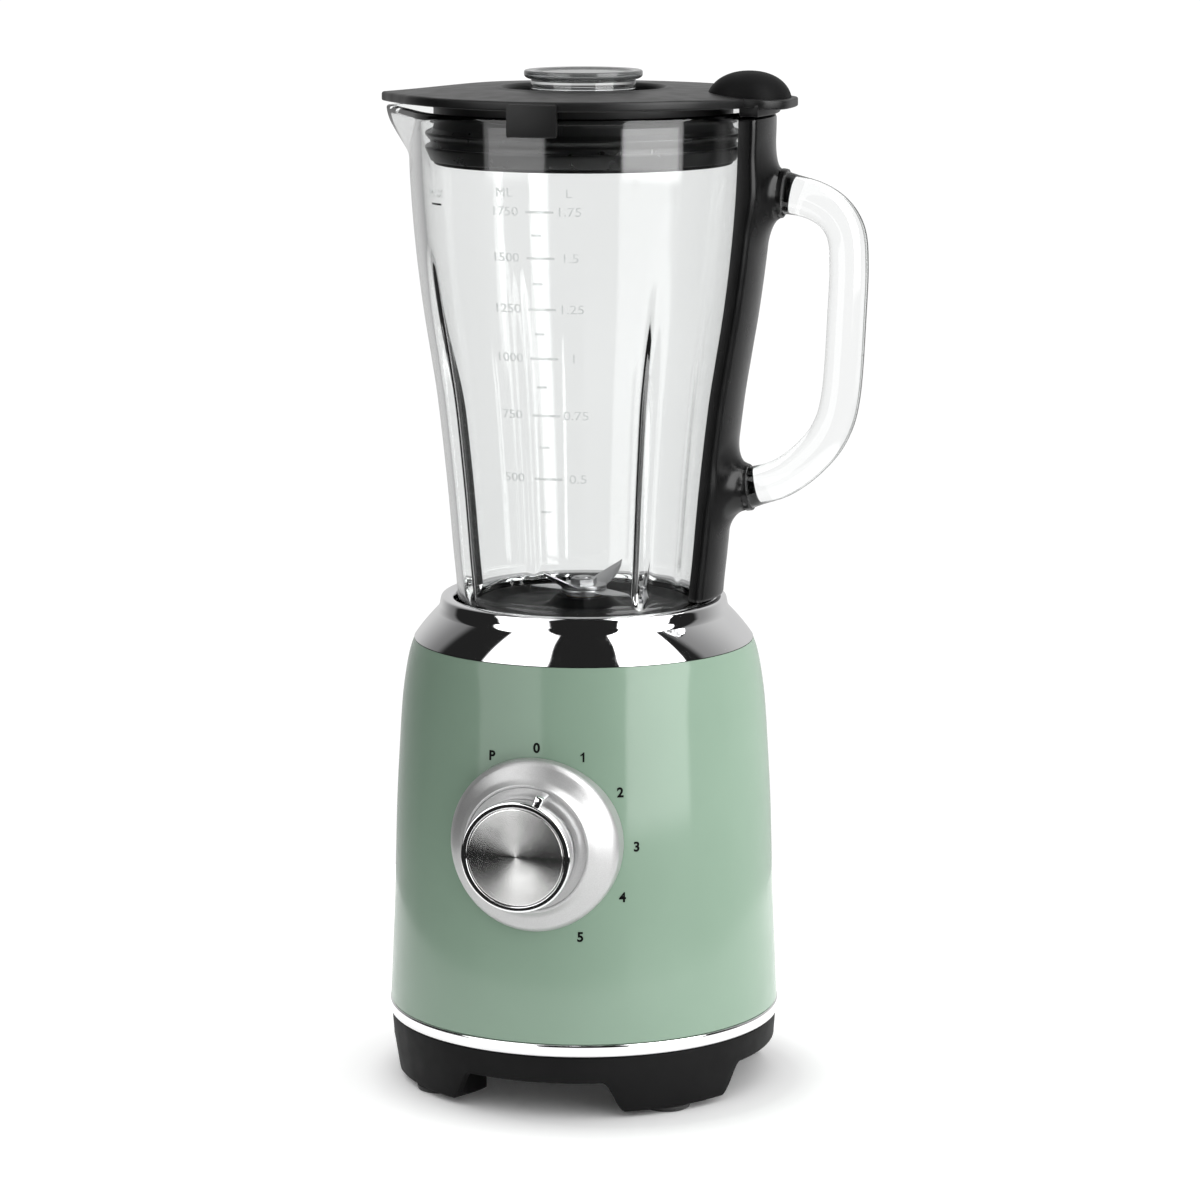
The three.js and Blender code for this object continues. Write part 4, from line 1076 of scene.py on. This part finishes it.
def floor():
    """A pale disc that glows a little away from the base, so that only the nearest shadow shows."""
    s = Surface("pale_floor", Specular_IOR_Level=0.0, Emission_Color=(1, 1, 1, 1))
    from_middle = s.node("VectorMath", {0: s.where}, operation="LENGTH").outputs["Value"]
    glow = s.ranged(from_middle, *GLOW, GLOW_PLACES)
    s.tree.links.new(glow, s.shader.inputs["Emission Strength"])
    s.coloured(s.noise(3, 3), (0.93, 0.93, 0.93), (0.95, 0.95, 0.95))
    s.rough(s.noise(8, 3), 0.85, 0.95)
    mesh = bpy.data.meshes.new("floor")
    turns = np.linspace(0, 2 * math.pi, 96, endpoint=False)
    rim = [(FLOOR_REACH * math.cos(t), FLOOR_REACH * math.sin(t), 0) for t in turns]
    mesh.from_pydata(rim, [], [tuple(range(len(rim)))])
    mesh.materials.append(s.material)
    made = added("floor", mesh)


# Where each box begins and ends, in degrees to its side of the camera's line, and how much further
# out that is for each degree up. Its near side then steps out once more, high up.
BOX_NEAR, NEAR_LEAN = 26.0, 0.14
BOX_FAR, FAR_LEAN = 68.0, 0.46
NEAR_STEP, STEP_HEIGHTS = 9.0, (57.0, 76.0)
BOX_FOOT, BOX_TOP = (-9.5, -7.5), (73.0, 76.0)  # degrees up, over which a box fades
LEFT_BOX, RIGHT_BOX = 2.0, 5.0  # how bright each box is in a reflection
DARK_FRONT, LOW_RIGHT = 0.018, 0.32  # the front between the boxes, and its right side low down
LEFT_BACK, RIGHT_BACK, BACK = 0.18, 0.25, 0.65  # where each side begins, and straight behind
FROM_ABOVE = 1.12  # what matt surfaces get from above
FROM_RIGHT = 2.6  # and from the camera's right, low down


def studio():
    """The light: a pale room, in which shiny surfaces find two bright boxes and a dark front."""
    world = bpy.data.worlds.new("studio")
    bpy.context.scene.world = world
    world.use_nodes = True
    world.cycles.sampling_method = "NONE"
    tree = world.node_tree
    nodes, links = tree.nodes, tree.links

    def node(kind, inputs, **settings):
        return shader_node(tree, kind, enumerate(inputs), settings).outputs[0]

    def calc(operation, *values):
        return node("Math", values, operation=operation)

    def ease(value, low, high):
        """0 below low and 1 above high."""
        return node("MapRange", (value, low, high, 0.0, 1.0), interpolation_type="SMOOTHSTEP")

    def between(value, low, high, soft):
        rise = ease(calc("SUBTRACT", value, low), -soft, soft)
        fall = ease(calc("SUBTRACT", high, value), -soft, soft)
        return calc("MULTIPLY", rise, fall)

    def blend(share, first, second):
        gap = calc("SUBTRACT", second, first)
        return calc("ADD", first, calc("MULTIPLY", share, gap))

    where = nodes.new("ShaderNodeTexCoord").outputs["Generated"]
    turned = nodes.new("ShaderNodeVectorRotate")
    turned.rotation_type = "Z_AXIS"
    turned.inputs["Angle"].default_value = -math.radians(VIEW_AZIMUTH)
    links.new(where, turned.inputs["Vector"])
    apart = nodes.new("ShaderNodeSeparateXYZ")
    links.new(turned.outputs[0], apart.inputs[0])
    x, y, z = apart.outputs
    azimuth = calc("DEGREES", calc("ARCTAN2", x, calc("MULTIPLY", y, -1.0)))
    elevation = calc("DEGREES", calc("ARCSINE", z))
    away = calc("ABSOLUTE", azimuth)
    up = calc("MAXIMUM", elevation, 0.0)
    high = calc("MULTIPLY", ease(elevation, *STEP_HEIGHTS), NEAR_STEP)
    box_near = calc("ADD", calc("ADD", BOX_NEAR, high), calc("MULTIPLY", up, NEAR_LEAN))
    box_far = calc("ADD", BOX_FAR, calc("MULTIPLY", up, FAR_LEAN))
    heights = calc("MULTIPLY", ease(elevation, *BOX_FOOT),
                   calc("SUBTRACT", 1.0, ease(elevation, *BOX_TOP)))
    in_box = calc("MULTIPLY", between(away, box_near, box_far, 1.5), heights)
    right = ease(azimuth, -1.0, 1.0)
    box_light = blend(right, LEFT_BOX, RIGHT_BOX)
    low_side = calc("MULTIPLY", right, ease(calc("MULTIPLY", elevation, -1.0), 12.0, 26.0))
    front = blend(low_side, DARK_FRONT, LOW_RIGHT)
    left_back = blend(ease(away, 122.0, 165.0), LEFT_BACK, BACK)
    right_back = blend(ease(away, 98.0, 150.0), RIGHT_BACK, BACK)
    from_behind = blend(right, ease(away, 119.0, 127.0), ease(away, 97.0, 105.0))
    behind = blend(right, left_back, right_back)
    plain = blend(from_behind, front, behind)
    seen = blend(in_box, plain, box_light)
    # Straight through glass, only what is high up in front is the room, and the rest is white.
    level = calc("MAXIMUM", from_behind, calc("SUBTRACT", 1.0, ease(elevation, 0.0, 4.0)))
    through = blend(level, seen, FLOOR_LIGHT)
    side = blend(ease(x, -0.45, 1.05), 0.0, FROM_RIGHT)
    soft = blend(ease(z, 0.2, 0.7), side, FROM_ABOVE)
    path = nodes.new("ShaderNodeLightPath").outputs
    straight = calc("MULTIPLY", path["Is Transmission Ray"],
                    calc("LESS_THAN", path["Glossy Depth"], 0.5))
    light = blend(path["Is Diffuse Ray"], FLOOR_LIGHT, soft)
    light = blend(calc("MAXIMUM", path["Is Glossy Ray"], path["Is Transmission Ray"]), light, seen)
    light = blend(straight, light, through)
    background = nodes["Background"]
    links.new(light, background.inputs["Strength"])
    background.inputs["Color"].default_value = (1, 1, 1, 1)


def make():
    """Every piece, and then the camera, the floor and the light."""
    base_skirt()
    foot_pads()
    trim_ring()
    body_shell()
    chrome_shoulder()
    cord_gland()
    dial_bezel()
    dial_knob()
    dial_face()
    dial_numbers()
    glass_jar()
    graduations()
    handle_spine()
    blade_carrier()
    blades()
    lid()
    lid_seal()
    measuring_cap()
    finish_cad_nodes()
    camera()
    floor()
    studio()
    bpy.context.scene.view_settings.view_transform = "Standard"


make()
bpy.context.view_layer.update()
